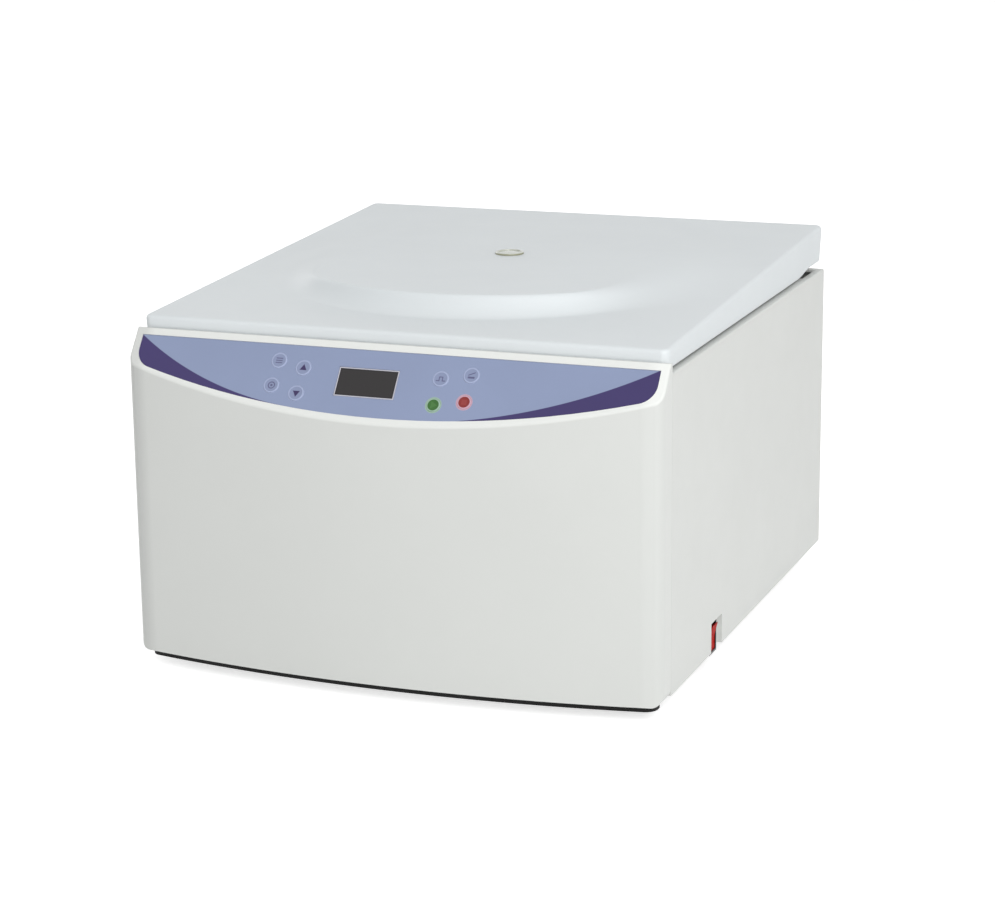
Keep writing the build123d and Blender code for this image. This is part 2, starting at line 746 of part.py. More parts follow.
with BuildPart() as motor_magnets:
    drum(0, rotor_y, stator_span, stator_bore - motor_gap)
    drum(0, rotor_y, stator_span, shaft_radius + fixed_gap, Mode.SUBTRACT)
finish(motor_magnets, "motor_magnets")

yoke_y = carrier_length / 2 + yoke_gap
web_z = pivot_z - yoke_bar_height / 2 - yoke_web_height / 2
boss_z = pivot_z + boss_rise
hub_z = web_z - hub_height
shaft_top = boss_z + thread_length
with BuildPart() as drive_shaft:
    drum(0, rotor_y, (hub_z, web_z), hub_radius)
    chamfer(drive_shaft.faces().sort_by(Axis.Z)[0].edges(), hub_chamfer)
    drum(0, rotor_y, (motor_base + running_gap, shaft_top), shaft_radius)
finish(drive_shaft, "drive_shaft")

with BuildPart() as rotor_yoke:
    for side in (-1, 1):
        outer_face = side * (yoke_y + yoke_bar) if side > 0 else side * yoke_y
        with BuildSketch(Plane.XZ.offset(-rotor_y - outer_face)):
            with Locations((0, pivot_z)):
                SlotCenterToCenter(2 * swing_radius, yoke_bar_height)
                with Locations((-swing_radius, 0), (swing_radius, 0)):
                    Circle(pin_radius + running_gap, mode=Mode.SUBTRACT)
        extrude(amount=yoke_bar)
    web_half = yoke_web_width / 2
    block((-web_half, web_half), (rotor_y - yoke_y, rotor_y + yoke_y), (web_z, web_z + yoke_web_height))
    drum(0, rotor_y, (web_z, boss_z), web_half)
    drum(0, rotor_y, (web_z, boss_z), shaft_radius + fixed_gap, Mode.SUBTRACT)
finish(rotor_yoke, "rotor_yoke")

with BuildPart() as trunnion_pins:
    for x in (-swing_radius, swing_radius):
        for side in (-1, 1):
            inner_end = carrier_length / 2 - carrier_wall - pin_reach
            ends = sorted((rotor_y + side * inner_end, rotor_y + side * (yoke_y + yoke_bar)))
            bar_y(x, ends, pivot_z, pin_radius)
finish(trunnion_pins, "trunnion_pins")

with BuildPart() as rotor_nut:
    with BuildSketch(Plane.XY.offset(boss_z)):
        with Locations((0, rotor_y)):
            RegularPolygon(nut_radius, 6)
    extrude(amount=nut_height)
    chamfer(rotor_nut.faces().sort_by(Axis.Z)[-1].edges(), nut_chamfer)
    drum(0, rotor_y, (boss_z, shaft_top + seam_gap), shaft_radius + fixed_gap, Mode.SUBTRACT)
finish(rotor_nut, "rotor_nut")

carrier_z = pivot_z - carrier_drop
wall_top = carrier_z + carrier_wall_height
for side, node in ((-1, "left_plate_carrier"), (1, "right_plate_carrier")):
    middle = side * swing_radius
    with BuildPart() as carrier:
        for inset, mode in ((0, Mode.ADD), (carrier_wall, Mode.SUBTRACT)):
            tray_width, tray_length = carrier_width - 2 * inset, carrier_length - 2 * inset
            with BuildSketch(Plane.XY.offset(carrier_z + inset)):
                with Locations((middle, rotor_y)):
                    RectangleRounded(tray_width, tray_length, carrier_corner - inset)
            extrude(amount=carrier_wall_height - inset, mode=mode)
        for end in (-1, 1):
            ear_face = end * carrier_length / 2 if end > 0 else end * (carrier_length / 2 - carrier_wall)
            with BuildSketch(Plane.XZ.offset(-rotor_y - ear_face)):
                with BuildLine():
                    root, root_half = wall_top - carrier_wall, ear_root_width / 2
                    Polyline((middle - root_half, root), (middle + root_half, root),
                             (middle + ear_tip_radius, pivot_z), (middle - ear_tip_radius, pivot_z),
                             close=True)
                make_face()
                with Locations((middle, pivot_z)):
                    Circle(ear_tip_radius)
                    Circle(pin_radius + pin_clearance, mode=Mode.SUBTRACT)
            extrude(amount=carrier_wall)
        with BuildSketch(Plane.YZ.offset(middle - carrier_width / 2)):
            with Locations((rotor_y, wall_top)):
                SlotOverall(ear_root_width, carrier_wall_height)
        extrude(amount=carrier_width, mode=Mode.SUBTRACT)
        with BuildSketch(Plane.XY.offset(carrier_z)):
            with Locations((middle, rotor_y)):
                with GridLocations(carrier_width / (floor_slot_columns + 1),
                                   carrier_length / (floor_slot_rows + 1),
                                   floor_slot_columns, floor_slot_rows):
                    SlotOverall(floor_slot_length, floor_slot_width)
        extrude(amount=carrier_wall, mode=Mode.SUBTRACT)
    finish(carrier, node)

# ---- Lid ----

slope = tan(radians(lid_slope))
lid_top_front = lid_z + lid_front_thickness
lid_top_rear = lid_top_front + slope * (lid_rear - lid_front)
plateau_z = lid_top_front + slope * (rotor_y - lid_front) + plateau_height


def lid_profile(inset, low):
    # Side view of the wedge, moved in from its faces and open to the height given below.
    top_inset = inset / cos(radians(lid_slope))
    bevel = max(lid_bevel - inset, seam_gap)
    front, rear = lid_front + inset, lid_rear - inset
    top_front, top_rear = lid_top_front + slope * inset, lid_top_rear - slope * inset
    with BuildSketch(Plane.YZ) as profile:
        with BuildLine():
            Polyline((front, low), (front, top_front - top_inset), (rear, top_rear - top_inset),
                     (rear, lid_z + bevel), (rear - bevel, low), close=True)
        make_face()
    return profile.sketch


def lid_plan(inset):
    with BuildSketch() as plan:
        with Locations((0, (lid_front + lid_rear) / 2)):
            RectangleRounded(2 * (lid_half - inset), lid_rear - lid_front - 2 * inset, lid_corner - inset)
    return plan.sketch


def plateau(inset):
    # The level disc and its flank, moved in from their faces, down to the lid's front lower edge.
    flank = radians(plateau_flank)
    top_z, top_radius = plateau_z - inset, plateau_radius - inset * tan(flank / 2)
    drop = top_z - lid_z
    with BuildPart() as disc:
        with Locations((0, rotor_y, lid_z)):
            Cone(top_radius + drop / tan(flank), top_radius, drop, align=(Align.CENTER, Align.CENTER, Align.MIN))
        fillet(disc.faces().sort_by(Axis.Z)[-1].edges(), plateau_round)
    return disc.part


space_plan, space_profile = lid_plan(lid_wall), lid_profile(lid_wall, lid_z - lid_wall)
space_plateau = plateau(lid_wall)
with BuildPart() as lid_space:
    with BuildSketch(Plane.XY.offset(lid_z - lid_wall)):
        add(space_plan)
    extrude(amount=lid_top_rear - lid_z + lid_wall)
    extrude(space_profile, amount=lid_half, both=True, mode=Mode.INTERSECT)
    add(space_plateau)

shell_plan, shell_profile = lid_plan(0), lid_profile(0, lid_z)
shell_plateau = plateau(0)
with BuildPart() as lid_shell:
    with BuildSketch(Plane.XY.offset(lid_z)):
        add(shell_plan)
    extrude(amount=lid_top_rear - lid_z)
    extrude(shell_profile, amount=lid_half, both=True, mode=Mode.INTERSECT)
    top_face = lid_shell.faces().sort_by(lambda f: f.center().Z)[-1]
    fillet(top_face.edges(), lid_edge_round)
    add(shell_plateau)
    add(lid_space.part, mode=Mode.SUBTRACT)
    drum(0, rotor_y, (lid_z, plateau_z), port_shank_radius + fixed_gap, Mode.SUBTRACT)
finish(lid_shell, "lid_shell")

liner_plan = lid_plan(lid_wall + fixed_gap)
liner_rear = lid_rear - lid_wall - lid_bevel
with BuildPart() as lid_liner:
    with BuildSketch(Plane.XY.offset(lid_z)):
        add(liner_plan)
        with Locations((0, liner_rear)):
            Rectangle(case_width, case_width, align=(Align.CENTER, Align.MIN), mode=Mode.SUBTRACT)
    extrude(amount=liner_thickness)
    drum(0, rotor_y, (lid_z, lid_z + liner_thickness), port_shank_radius + fixed_gap, Mode.SUBTRACT)
finish(lid_liner, "lid_liner")

with BuildPart() as sight_port:
    drum(0, rotor_y, (lid_z, plateau_z + port_flange), port_shank_radius)
    drum(0, rotor_y, (plateau_z, plateau_z + port_flange), port_radius)
finish(sight_port, "sight_port")

# ---- Hinges ----

lid_knuckle = hinge_length / 2
for node, spans in (
    ("cabinet_hinges", ((-hinge_length / 2, -lid_knuckle / 2 - knuckle_gap),
                        (lid_knuckle / 2 + knuckle_gap, hinge_length / 2))),
    ("lid_hinges", ((-lid_knuckle / 2, lid_knuckle / 2),)),
):
    bore = hinge_pin_radius + (pin_clearance if node == "lid_hinges" else running_gap)
    with BuildPart() as leaves:
        for middle in (-hinge_spread, hinge_spread):
            for low, high in spans:
                x_span = (middle + low, middle + high)
                bar_x(x_span, hinge_y, hinge_z, knuckle_radius)
                if node == "lid_hinges":
                    leaf_rise = (lid_z - leaf_thickness - running_gap, lid_z - running_gap)
                    block(x_span, (hinge_y - leaf_width, hinge_y), leaf_rise)
                else:
                    block(x_span, (rear_y, rear_y + leaf_thickness), (hinge_z - leaf_width, hinge_z))
            ends = (middle - hinge_length / 2, middle + hinge_length / 2)
            bar_x(ends, hinge_y, hinge_z, bore, Mode.SUBTRACT)
    finish(leaves, node)

with BuildPart() as hinge_pins:
    for middle in (-hinge_spread, hinge_spread):
        bar_x((middle - hinge_length / 2, middle + hinge_length / 2), hinge_y, hinge_z, hinge_pin_radius)
finish(hinge_pins, "hinge_pins")

# ---- Lid lock ----

bolt_z = lid_z - bolt_drop
with BuildPart() as lid_striker:
    striker_half = striker_thickness / 2
    striker_span = (striker_y - striker_width / 2, striker_y + striker_width / 2)
    block((-striker_half, striker_half), striker_span, (lid_z - striker_length, lid_z))
    lower_edges = lid_striker.edges().filter_by(Axis.X).group_by(Axis.Z)[0]
    fillet(lower_edges, striker_round)
    window_span = (striker_y - striker_window / 2, striker_y + striker_window / 2)
    window_rise = (bolt_z - striker_window / 2, bolt_z + striker_window / 2)
    block((-striker_half, striker_half), window_span, window_rise, Mode.SUBTRACT)
    block((-striker_flange / 2, striker_flange / 2), striker_span, (lid_z - sheet, lid_z))
finish(lid_striker, "lid_striker")

guide_near = -striker_half - bolt_rest_gap
guide_far = striker_half + bolt_rest_gap
lock_y = (striker_y - lock_width / 2, striker_y + lock_width / 2)
lock_floor = bolt_z - solenoid_size / 2 - lock_sheet
lock_top = deck_z - sheet
solenoid_x = (guide_near - lock_sheet - solenoid_length, guide_near - lock_sheet)
with BuildPart() as lock_frame:
    lock_right = guide_far + lock_sheet
    block((solenoid_x[0], lock_right), lock_y, (lock_floor, lock_floor + lock_sheet))
    for x in (guide_near - lock_sheet, guide_far):
        block((x, x + lock_sheet), lock_y, (lock_floor, lock_top))
    bar_x((guide_near - lock_sheet, lock_right), striker_y, bolt_z, bolt_radius + bolt_gap, Mode.SUBTRACT)
finish(lock_frame, "lock_frame")

with BuildPart() as lock_solenoid:
    size_half = solenoid_size / 2
    block(solenoid_x, (striker_y - size_half, striker_y + size_half), (bolt_z - size_half, lock_top))
    bar_x(solenoid_x, striker_y, bolt_z, bolt_radius + bolt_gap, Mode.SUBTRACT)
finish(lock_solenoid, "lock_solenoid")

with BuildPart() as lock_bolt:
    bolt_tip = -striker_half - bolt_rest_gap / 2
    bar_x((solenoid_x[0] + bolt_rest_gap, bolt_tip), striker_y, bolt_z, bolt_radius)
    chamfer(lock_bolt.faces().sort_by(Axis.X)[-1].edges(), bolt_chamfer)
finish(lock_bolt, "lock_bolt")

# ---- Gas spring ----
# The rod hangs from a stud under the lid, and the tube slides on the rod. The tube's lower eye stands
# beside a boss on the right side panel.

along = Plane(
    origin=(spring_x, heel_y, heel_z), x_dir=(1, 0, 0), z_dir=(0, stud_y - heel_y, stud_z - heel_z)
)
eye_x = (spring_x - eye_thickness / 2, spring_x + eye_thickness / 2)
with BuildPart() as spring_tube:
    with BuildSketch(along.offset(tube_neck)):
        Circle(tube_radius)
    extrude(amount=tube_length)
    with BuildSketch(along):
        Circle(rod_radius)
    extrude(amount=tube_neck)
    with BuildSketch(along.offset(tube_neck + tube_radius)):
        Circle(rod_radius + rod_gap)
    extrude(amount=tube_length, mode=Mode.SUBTRACT)
    bar_x(eye_x, heel_y, heel_z, eye_radius)
    bar_x(eye_x, heel_y, heel_z, stud_radius, Mode.SUBTRACT)
finish(spring_tube, "spring_tube")

with BuildPart() as spring_rod:
    with BuildSketch(along.offset(spring_length)):
        Circle(rod_radius)
    extrude(amount=-rod_length)
    bar_x(eye_x, stud_y, stud_z, eye_radius)
    bar_x(eye_x, stud_y, stud_z, stud_radius + pin_clearance, Mode.SUBTRACT)
finish(spring_rod, "spring_rod")

stud_face = eye_x[0] - seat_gap
with BuildPart() as spring_stud:
    ear = (stud_face - bracket_sheet, stud_face)
    bar_x(ear, stud_y, stud_z, eye_radius)
    block(ear, (stud_y - eye_radius, stud_y + eye_radius), (stud_z, lid_z))
    bar_x((stud_face - bracket_sheet, eye_x[1]), stud_y, stud_z, stud_radius)
finish(spring_stud, "spring_stud")

# ---- Rear face: fan, inlet, fuses ----

fan_y = (rear_y - sheet - fan_depth, rear_y - sheet)
fan_span = (fan_x - fan_size / 2, fan_x + fan_size / 2)
hub_y = (fan_y[1] - fan_hub_depth, fan_y[1])
with BuildPart() as fan_frame:
    block(fan_span, fan_y, (fan_z - fan_size / 2, fan_z + fan_size / 2))
    bar_y(fan_x, fan_y, fan_z, fan_radius, Mode.SUBTRACT)
    bar_y(fan_x, hub_y, fan_z, fan_hub_radius)
    with BuildSketch(Plane.XZ.offset(-hub_y[1])):
        with Locations((fan_x, fan_z)):
            with PolarLocations(0, fan_struts):
                with Locations((fan_radius / 2, 0)):
                    Rectangle(fan_radius + fixed_gap, fan_strut_width)
    extrude(amount=hub_y[1] - hub_y[0])
    bar_y(fan_x, (fan_y[0] + fan_pin_radius, hub_y[1]), fan_z, fan_pin_radius)
finish(fan_frame, "fan_frame")

blade_y = (fan_y[0] + fan_pin_radius, hub_y[0] - fan_pin_radius / 2)
blade_root = fan_hub_radius - fan_pin_radius
with BuildPart() as fan_impeller:
    bar_y(fan_x, blade_y, fan_z, fan_hub_radius)
    with BuildSketch(Plane.XZ.offset(-blade_y[1])):
        with Locations((fan_x, fan_z)):
            with PolarLocations(0, fan_blades):
                with Locations((blade_root, 0)):
                    Rectangle(fan_radius - fan_tip_gap - blade_root, blade_width,
                              align=(Align.MIN, Align.CENTER))
    extrude(amount=fan_pin_radius)
    bar_y(fan_x, blade_y, fan_z, fan_pin_radius + pin_clearance, Mode.SUBTRACT)
finish(fan_impeller, "fan_impeller")

guard_start = fan_radius / guard_rings - guard_wire
with BuildPart() as fan_guard:
    with BuildSketch(Plane.XZ.offset(-rear_y - 2 * guard_wire)):
        with Locations((fan_x, fan_z)):
            for ring in range(guard_rings):
                ring_radius = fan_radius * (ring + 1) / guard_rings - guard_wire
                Circle(ring_radius + guard_wire)
                Circle(ring_radius, mode=Mode.SUBTRACT)
            with PolarLocations(0, 4, start_angle=45):
                with Locations((guard_start, 0)):
                    Rectangle(guard_reach - guard_start, 2 * guard_wire, align=(Align.MIN, Align.CENTER))
    extrude(amount=2 * guard_wire)
finish(fan_guard, "fan_guard")

with BuildPart() as power_inlet:
    flange_x = (inlet_x - inlet_flange_width / 2, inlet_x + inlet_flange_width / 2)
    flange_rise = (inlet_z - inlet_flange_height / 2, inlet_z + inlet_flange_height / 2)
    block(flange_x, (rear_y, rear_y + inlet_flange_thickness), flange_rise)
    body_x = (inlet_x - inlet_body_width / 2, inlet_x + inlet_body_width / 2)
    body_rise = (inlet_z - inlet_body_height / 2, inlet_z + inlet_body_height / 2)
    block(body_x, (rear_y - inlet_body_depth, rear_y), body_rise)
    socket_x = (inlet_x - inlet_socket_width / 2, inlet_x + inlet_socket_width / 2)
    socket_y = (rear_y + inlet_flange_thickness - inlet_socket_depth, rear_y + inlet_flange_thickness)
    socket_rise = (inlet_z - inlet_socket_height / 2, inlet_z + inlet_socket_height / 2)
    block(socket_x, socket_y, socket_rise, Mode.SUBTRACT)
    for column in (-1, 0, 1):
        pin_x = inlet_x + column * inlet_pin_pitch
        pin_z = inlet_z + (inlet_pin_offset if column == 0 else -inlet_pin_offset)
        block((pin_x - inlet_pin_thickness / 2, pin_x + inlet_pin_thickness / 2),
              (socket_y[0], socket_y[0] + inlet_pin_length),
              (pin_z - inlet_pin_height / 2, pin_z + inlet_pin_height / 2))
finish(power_inlet, "power_inlet")

with BuildPart() as fuse_holders:
    for fuse_z in fuse_heights:
        bar_y(fuse_x, (rear_y - fuse_length, rear_y), fuse_z, fuse_radius)
        bar_y(fuse_x, (rear_y, rear_y + fuse_cap_height), fuse_z, fuse_cap_radius)
finish(fuse_holders, "fuse_holders")

# ---- Electronics on the tray ----

with BuildPart() as inverter_board:
    with BuildSketch(Plane.XY.offset(board_z)):
        with Locations((inverter_x, board_y)):
            Rectangle(inverter_length, inverter_width)
    extrude(amount=board_thickness)
    with BuildSketch(Plane.XY.offset(board_z + board_thickness)):
        with Locations((inverter_x + inverter_length / 4, board_y)):
            with GridLocations(3 * capacitor_radius, 3 * capacitor_radius, 2, 3):
                Circle(capacitor_radius)
    extrude(amount=capacitor_height)
    with BuildSketch(Plane.XY.offset(board_z + board_thickness)):
        with Locations((inverter_x - inverter_length / 4, board_y)):
            Rectangle(*module_size[:2])
    extrude(amount=module_size[2])
finish(inverter_board, "inverter_board")

sink_x = -tray_half + sheet + sink_width
with BuildPart() as heat_sink:
    sink_y = (rotor_y - sink_length / 2, rotor_y + sink_length / 2)
    block((sink_x - sink_width / 2, sink_x + sink_width / 2), sink_y, (tray_top, tray_top + sink_base))
    for fin in range(fin_count):
        fin_x = sink_x + (fin / (fin_count - 1) - 0.5) * (sink_width - fin_thickness)
        fin_span = (fin_x - fin_thickness / 2, fin_x + fin_thickness / 2)
        block(fin_span, sink_y, (tray_top, tray_top + sink_base + fin_height))
finish(heat_sink, "heat_sink")

# ---- Bumpers and fasteners ----

bumper_x = half_width - bumper_inset_x
bumper_y = lid_front + bumper_inset_y
with BuildPart() as lid_bumpers:
    for x in (-bumper_x, bumper_x):
        drum(x, bumper_y, (deck_z, lid_z - seat_gap), bumper_radius)
finish(lid_bumpers, "lid_bumpers")

with BuildPart() as cabinet_screws:
    for x, y in post_places:
        drum(x, y, (deck_z, deck_z + screw_head), screw_radius)
    with Locations(Location((0, rotor_y, rim_top))):
        with PolarLocations(rim_outer - screw_radius, rim_screw_count, start_angle=30):
            Cylinder(rim_screw_radius, screw_head, align=(Align.CENTER, Align.CENTER, Align.MIN))
    for x in (-inner_half + corner_post, inner_half - corner_post):
        for z in (side_z + corner_post, (side_z + deck_z) / 2, deck_z - corner_post):
            bar_y(x, (rear_y, rear_y + screw_head), z, screw_radius)
    with BuildSketch(panel.offset(boss_end - board_thickness)):
        with Locations(*board_places):
            Circle(screw_radius)
    extrude(amount=-screw_head)
finish(cabinet_screws, "cabinet_screws")

liner_x = lid_half - liner_screw_inset
liner_front_y = lid_front + liner_screw_inset
with BuildPart() as liner_screws:
    for x in (-liner_x, 0, liner_x):
        drum(x, liner_front_y, (lid_z - screw_head / 2, lid_z), screw_radius)
    for x in (-liner_x, liner_x):
        drum(x, rear_y - liner_screw_rear, (lid_z - screw_head / 2, lid_z), screw_radius)
finish(liner_screws, "liner_screws")
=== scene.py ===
from math import cos, pi, radians, sin, tan

import bmesh
import bpy
import numpy as np
from mathutils import Matrix, Vector


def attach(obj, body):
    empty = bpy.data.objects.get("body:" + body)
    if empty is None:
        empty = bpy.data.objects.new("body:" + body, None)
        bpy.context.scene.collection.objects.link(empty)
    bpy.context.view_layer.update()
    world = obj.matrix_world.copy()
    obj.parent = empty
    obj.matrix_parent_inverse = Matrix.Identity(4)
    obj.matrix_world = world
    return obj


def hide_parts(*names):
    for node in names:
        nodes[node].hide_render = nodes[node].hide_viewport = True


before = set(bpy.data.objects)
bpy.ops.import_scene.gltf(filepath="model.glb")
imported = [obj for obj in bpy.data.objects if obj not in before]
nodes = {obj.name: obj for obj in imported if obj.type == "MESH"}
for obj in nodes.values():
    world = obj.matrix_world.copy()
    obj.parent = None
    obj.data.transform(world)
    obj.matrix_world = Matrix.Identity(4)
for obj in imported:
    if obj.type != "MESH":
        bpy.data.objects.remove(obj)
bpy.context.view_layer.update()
print("frame loaded:", len(nodes), "nodes")

spindleY = 0.0376  # the spindle stands here along y, and at 0 along x
onSpindle = Matrix.Translation((0, spindleY, 0))
rearFace = 0.2351  # outer face of the rear panel


class Flow:
    # One shader socket. Arithmetic on it adds Math nodes, so a pattern reads as a plain expression.
    def __init__(self, sheet, socket):
        self.sheet, self.socket = sheet, socket

    def math(self, operation, *others):
        return self.sheet.add("Math", dict(enumerate((self, *others))), operation=operation)

    def __add__(self, other):
        return self.math("ADD", other)

    def __sub__(self, other):
        return self.math("SUBTRACT", other)

    def __mul__(self, other):
        return self.math("MULTIPLY", other)

    def __gt__(self, other):
        return self.math("GREATER_THAN", other)

    def __lt__(self, other):
        return self.math("LESS_THAN", other)

    def abs(self):
        return self.math("ABSOLUTE")

    def root(self):
        return self.math("SQRT")

    def wrap(self, span):
        return self.math("FLOORED_MODULO", span)

    def least(self, other):
        return self.math("MINIMUM", other)

    def most(self, other):
        return self.math("MAXIMUM", other)

    def ease(self, low, high):
        # 0 below low, 1 above high, smooth between them; with low above high it runs the other way.
        links = {"Value": self, "From Min": low, "From Max": high}
        return self.sheet.add("MapRange", links, interpolation_type="SMOOTHSTEP")


class Sheet:
    # A node tree, with the nodes that the patterns are made of.
    def __init__(self, tree):
        self.tree = tree

    def add(self, kind, links=None, out=0, **settings):
        # Any shader node: its kind, the values or links of its sockets, and its settings, which come first.
        node = self.tree.nodes.new("ShaderNode" + kind)
        for key, value in settings.items():
            setattr(node, key, value)
        for key, value in (links or {}).items():
            self.join(node.inputs[key], value)
        return Flow(self, node.outputs[out])

    def join(self, socket, value):
        if isinstance(value, Flow):
            self.tree.links.new(value.socket, socket)
        elif socket.type == "RGBA" and len(value) == 3:
            socket.default_value = (*value, 1.0)
        else:
            socket.default_value = value

    def place(self):
        return self.add("TexCoord", out="Object")

    def spots(self):
        # The place on the piece, whole and then along each axis.
        place = self.place()
        split = self.add("SeparateXYZ", {0: place}).socket.node
        return place, *(Flow(self, socket) for socket in split.outputs)

    def point(self, x, y, z):
        return self.add("CombineXYZ", {0: x, 1: y, 2: z})

    def cloud(self, place, scale, detail=3.0, roughness=0.5):
        links = {"Vector": place, "Scale": scale, "Detail": detail, "Roughness": roughness}
        return self.add("TexNoise", links)

    def mix(self, factor, first, second):
        return self.add("Mix", {0: factor, 6: first, 7: second}, out=2, data_type="RGBA")

    def bump(self, height, distance, under=None):
        links = {"Height": height, "Distance": distance}
        if under is not None:
            links["Normal"] = under
        return self.add("Bump", links)


class Finish(Sheet):
    # One material: a Principled shader and the nodes that feed it.
    def __init__(self, name, **values):
        self.material = bpy.data.materials.new(name)
        self.material.use_nodes = True
        super().__init__(self.material.node_tree)
        self.shader = self.tree.nodes["Principled BSDF"]
        for key, value in values.items():
            self.feed(key.replace("_", " "), value)

    def feed(self, name, value):
        self.join(self.shader.inputs[name], value)

    def fed(self, name):
        # What feeds a socket of the shader so far.
        return Flow(self, self.shader.inputs[name].links[0].from_socket)

    def drift(self, place, scale, detail, colour, share):
        # A colour that drifts slowly between itself and a darker share of itself.
        return self.mix(self.cloud(place, scale, detail).ease(0.3, 0.7), darker(colour, share), colour)

    def gloss(self, place, scale, detail, low, spread, base):
        # Roughness in soft patches, from the base up by the spread.
        self.feed("Roughness", self.cloud(place, scale, detail).ease(low, 0.7) * spread + base)

    def grain(self, place, scale, depth):
        # A fine, even relief.
        self.feed("Normal", self.bump(self.cloud(place, scale, 2.0), depth))


def shade(red, green, blue):
    # An sRGB colour on the 0 to 255 scale, as the linear values that a shader takes.
    tones = np.array([red, green, blue]) / 255.0
    return tuple(float(v) for v in np.where(tones <= 0.04045, tones / 12.92, ((tones + 0.055) / 1.055) ** 2.4))


def darker(colour, share):
    # The colour times a share, still as linear values.
    return tuple(v * share for v in colour)


def moulded(name, colour, roughness, grain, depth, drift, coat=0.0, haze=0.12, **more):
    # Moulded or coated surface: slow drift of tone, faint smudges in the gloss, and a fine grain.
    finish = Finish(name, **more)
    place = finish.place()
    smudge = finish.cloud(place, 38.0, 4.0, 0.6)
    finish.feed("Base Color", finish.drift(place, 9.0, 2.0, colour, drift))
    finish.feed("Roughness", smudge.ease(0.35, 0.7) * haze + (roughness - haze / 2))
    finish.grain(place, grain, depth)
    if coat:
        finish.feed("Coat Weight", coat)
    return finish


def worked(finish, marks, slow, colour, share, spreads, base, depth):
    # Worked metal: fine marks in tone, gloss and height, and slow patches in the gloss.
    tone = marks.ease(0.25, 0.75)
    finish.feed("Base Color", finish.mix(tone, darker(colour, share), colour))
    finish.feed("Roughness", tone * spreads[0] + slow.ease(0.35, 0.7) * spreads[1] + base)
    finish.feed("Normal", finish.bump(marks, depth))
    return finish


def brushed(name, colour, roughness, along, depth, streak=2400.0, draw=0.02):
    # Brushed metal: noise drawn out along one axis gives long fine streaks.
    finish = Finish(name, Metallic=1.0)
    spot, *flows = finish.spots()
    drawn = finish.point(*(flow * (draw if axis == along else 1) for flow, axis in zip(flows, "xyz")))
    marks, slow = finish.cloud(drawn, streak, 2.0), finish.cloud(spot, 30.0)
    return worked(finish, marks, slow, colour, 0.86, (0.12, 0.1), roughness - 0.08, depth)


def fromSpindle(x, y):
    # Distance from the spindle: the root of the two squares.
    back = y - spindleY
    return (x * x + back * back).root()


def turned(name, colour, roughness, depth=0.000006, pitch=1800.0):
    # Turned or spun metal: noise that depends on the distance from the spindle and the height.
    finish = Finish(name, Metallic=1.0)
    spot, x, y, z = finish.spots()
    marks = finish.cloud(finish.point(fromSpindle(x, y), z * 0.9, x * 0.004), pitch, 2.0)
    slow = finish.cloud(spot, 18.0)
    return worked(finish, marks, slow, colour, 0.88, (0.1, 0.12), roughness - 0.07, depth)


liner = {
    "tone": shade(212, 214, 214), "mark": shade(150, 151, 152),
    "seal": 0.1778, "band": (0.0026, 0.0008),  # its radius, and how far off it the mark starts and is full
}


def linerFinish():
    # Grained sheet with a dull grey band, pressed in a little, where the chamber's seal bears on it.
    finish = Finish("linerPlastic")
    spot, x, y = finish.spots()[:3]
    band = (fromSpindle(x, y) - liner["seal"]).abs().ease(*liner["band"])
    haze = finish.cloud(spot, 24.0, 4.0, 0.6).ease(0.35, 0.7)
    tone = finish.mix(haze, darker(liner["tone"], 0.96), liner["tone"])
    finish.feed("Base Color", finish.mix(band * (haze * 0.4 + 0.3), tone, liner["mark"]))
    finish.feed("Roughness", haze * 0.1 + band * -0.12 + 0.5)
    finish.feed("Normal", finish.bump(finish.cloud(spot, 1800.0, 2.0) - band * 4, 0.00004))
    return finish


def dress(finish, *names):
    # Gives one finish to solids of the frame.
    for name in names:
        mesh = nodes[name].data
        mesh.materials.clear()
        mesh.materials.append(finish.material)


def gridFaces(points, wrapRows=False, wrapColumns=False, flip=False):
    # A grid of points, rows by columns by 3. Each cell is one face, and a wrapped direction closes on itself.
    rows, columns = points.shape[:2]
    index = np.arange(rows * columns).reshape(rows, columns)
    down = np.roll(index, -1, 0) if wrapRows else index[1:]
    here = index if wrapRows else index[:-1]
    if wrapColumns:
        a, b, c, d = here, np.roll(here, -1, 1), np.roll(down, -1, 1), down
    else:
        a, b, c, d = here[:, :-1], here[:, 1:], down[:, 1:], down[:, :-1]
    quads = np.stack([a, d, c, b] if flip else [a, b, c, d], -1).reshape(-1, 4)
    return points.reshape(-1, 3), quads


def meshOf(name, parts, finish, sharp=40):
    # One mesh from several (points, faces) pairs, each set of faces moved past the points before it. Doubled
    # points are merged, so seams and poles are closed, and all but the sharp edges are smoothed.
    starts = np.cumsum([0] + [len(points) for points, _ in parts[:-1]])
    points = np.concatenate([points for points, _ in parts])
    quads = np.concatenate([faces + start for (_, faces), start in zip(parts, starts)])
    mesh = bpy.data.meshes.new(name)
    mesh.from_pydata(points.tolist(), [], quads.tolist())
    mesh.validate()
    work = bmesh.new()
    work.from_mesh(mesh)
    bmesh.ops.remove_doubles(work, verts=work.verts, dist=1e-6)
    bmesh.ops.recalc_face_normals(work, faces=work.faces)
    work.to_mesh(mesh)
    work.free()
    mesh.shade_smooth()
    mesh.set_sharp_from_angle(angle=radians(sharp))
    mesh.materials.append(finish.material)
    piece = bpy.data.objects.new(name, mesh)
    bpy.context.scene.collection.objects.link(piece)
    return piece


def gridMesh(name, points, finish, **wraps):
    return meshOf(name, [gridFaces(points, **wraps)], finish)


def blend(first, last, share):
    # A share of the way from the first value to the last.
    return first + (last - first) * share


def smoothStep(value, low, high):
    # 0 below low, 1 above high, and between them three times the share's square less twice its cube.
    share = np.clip((value - low) / (high - low), 0, 1)
    return share * share * (3 - 2 * share)


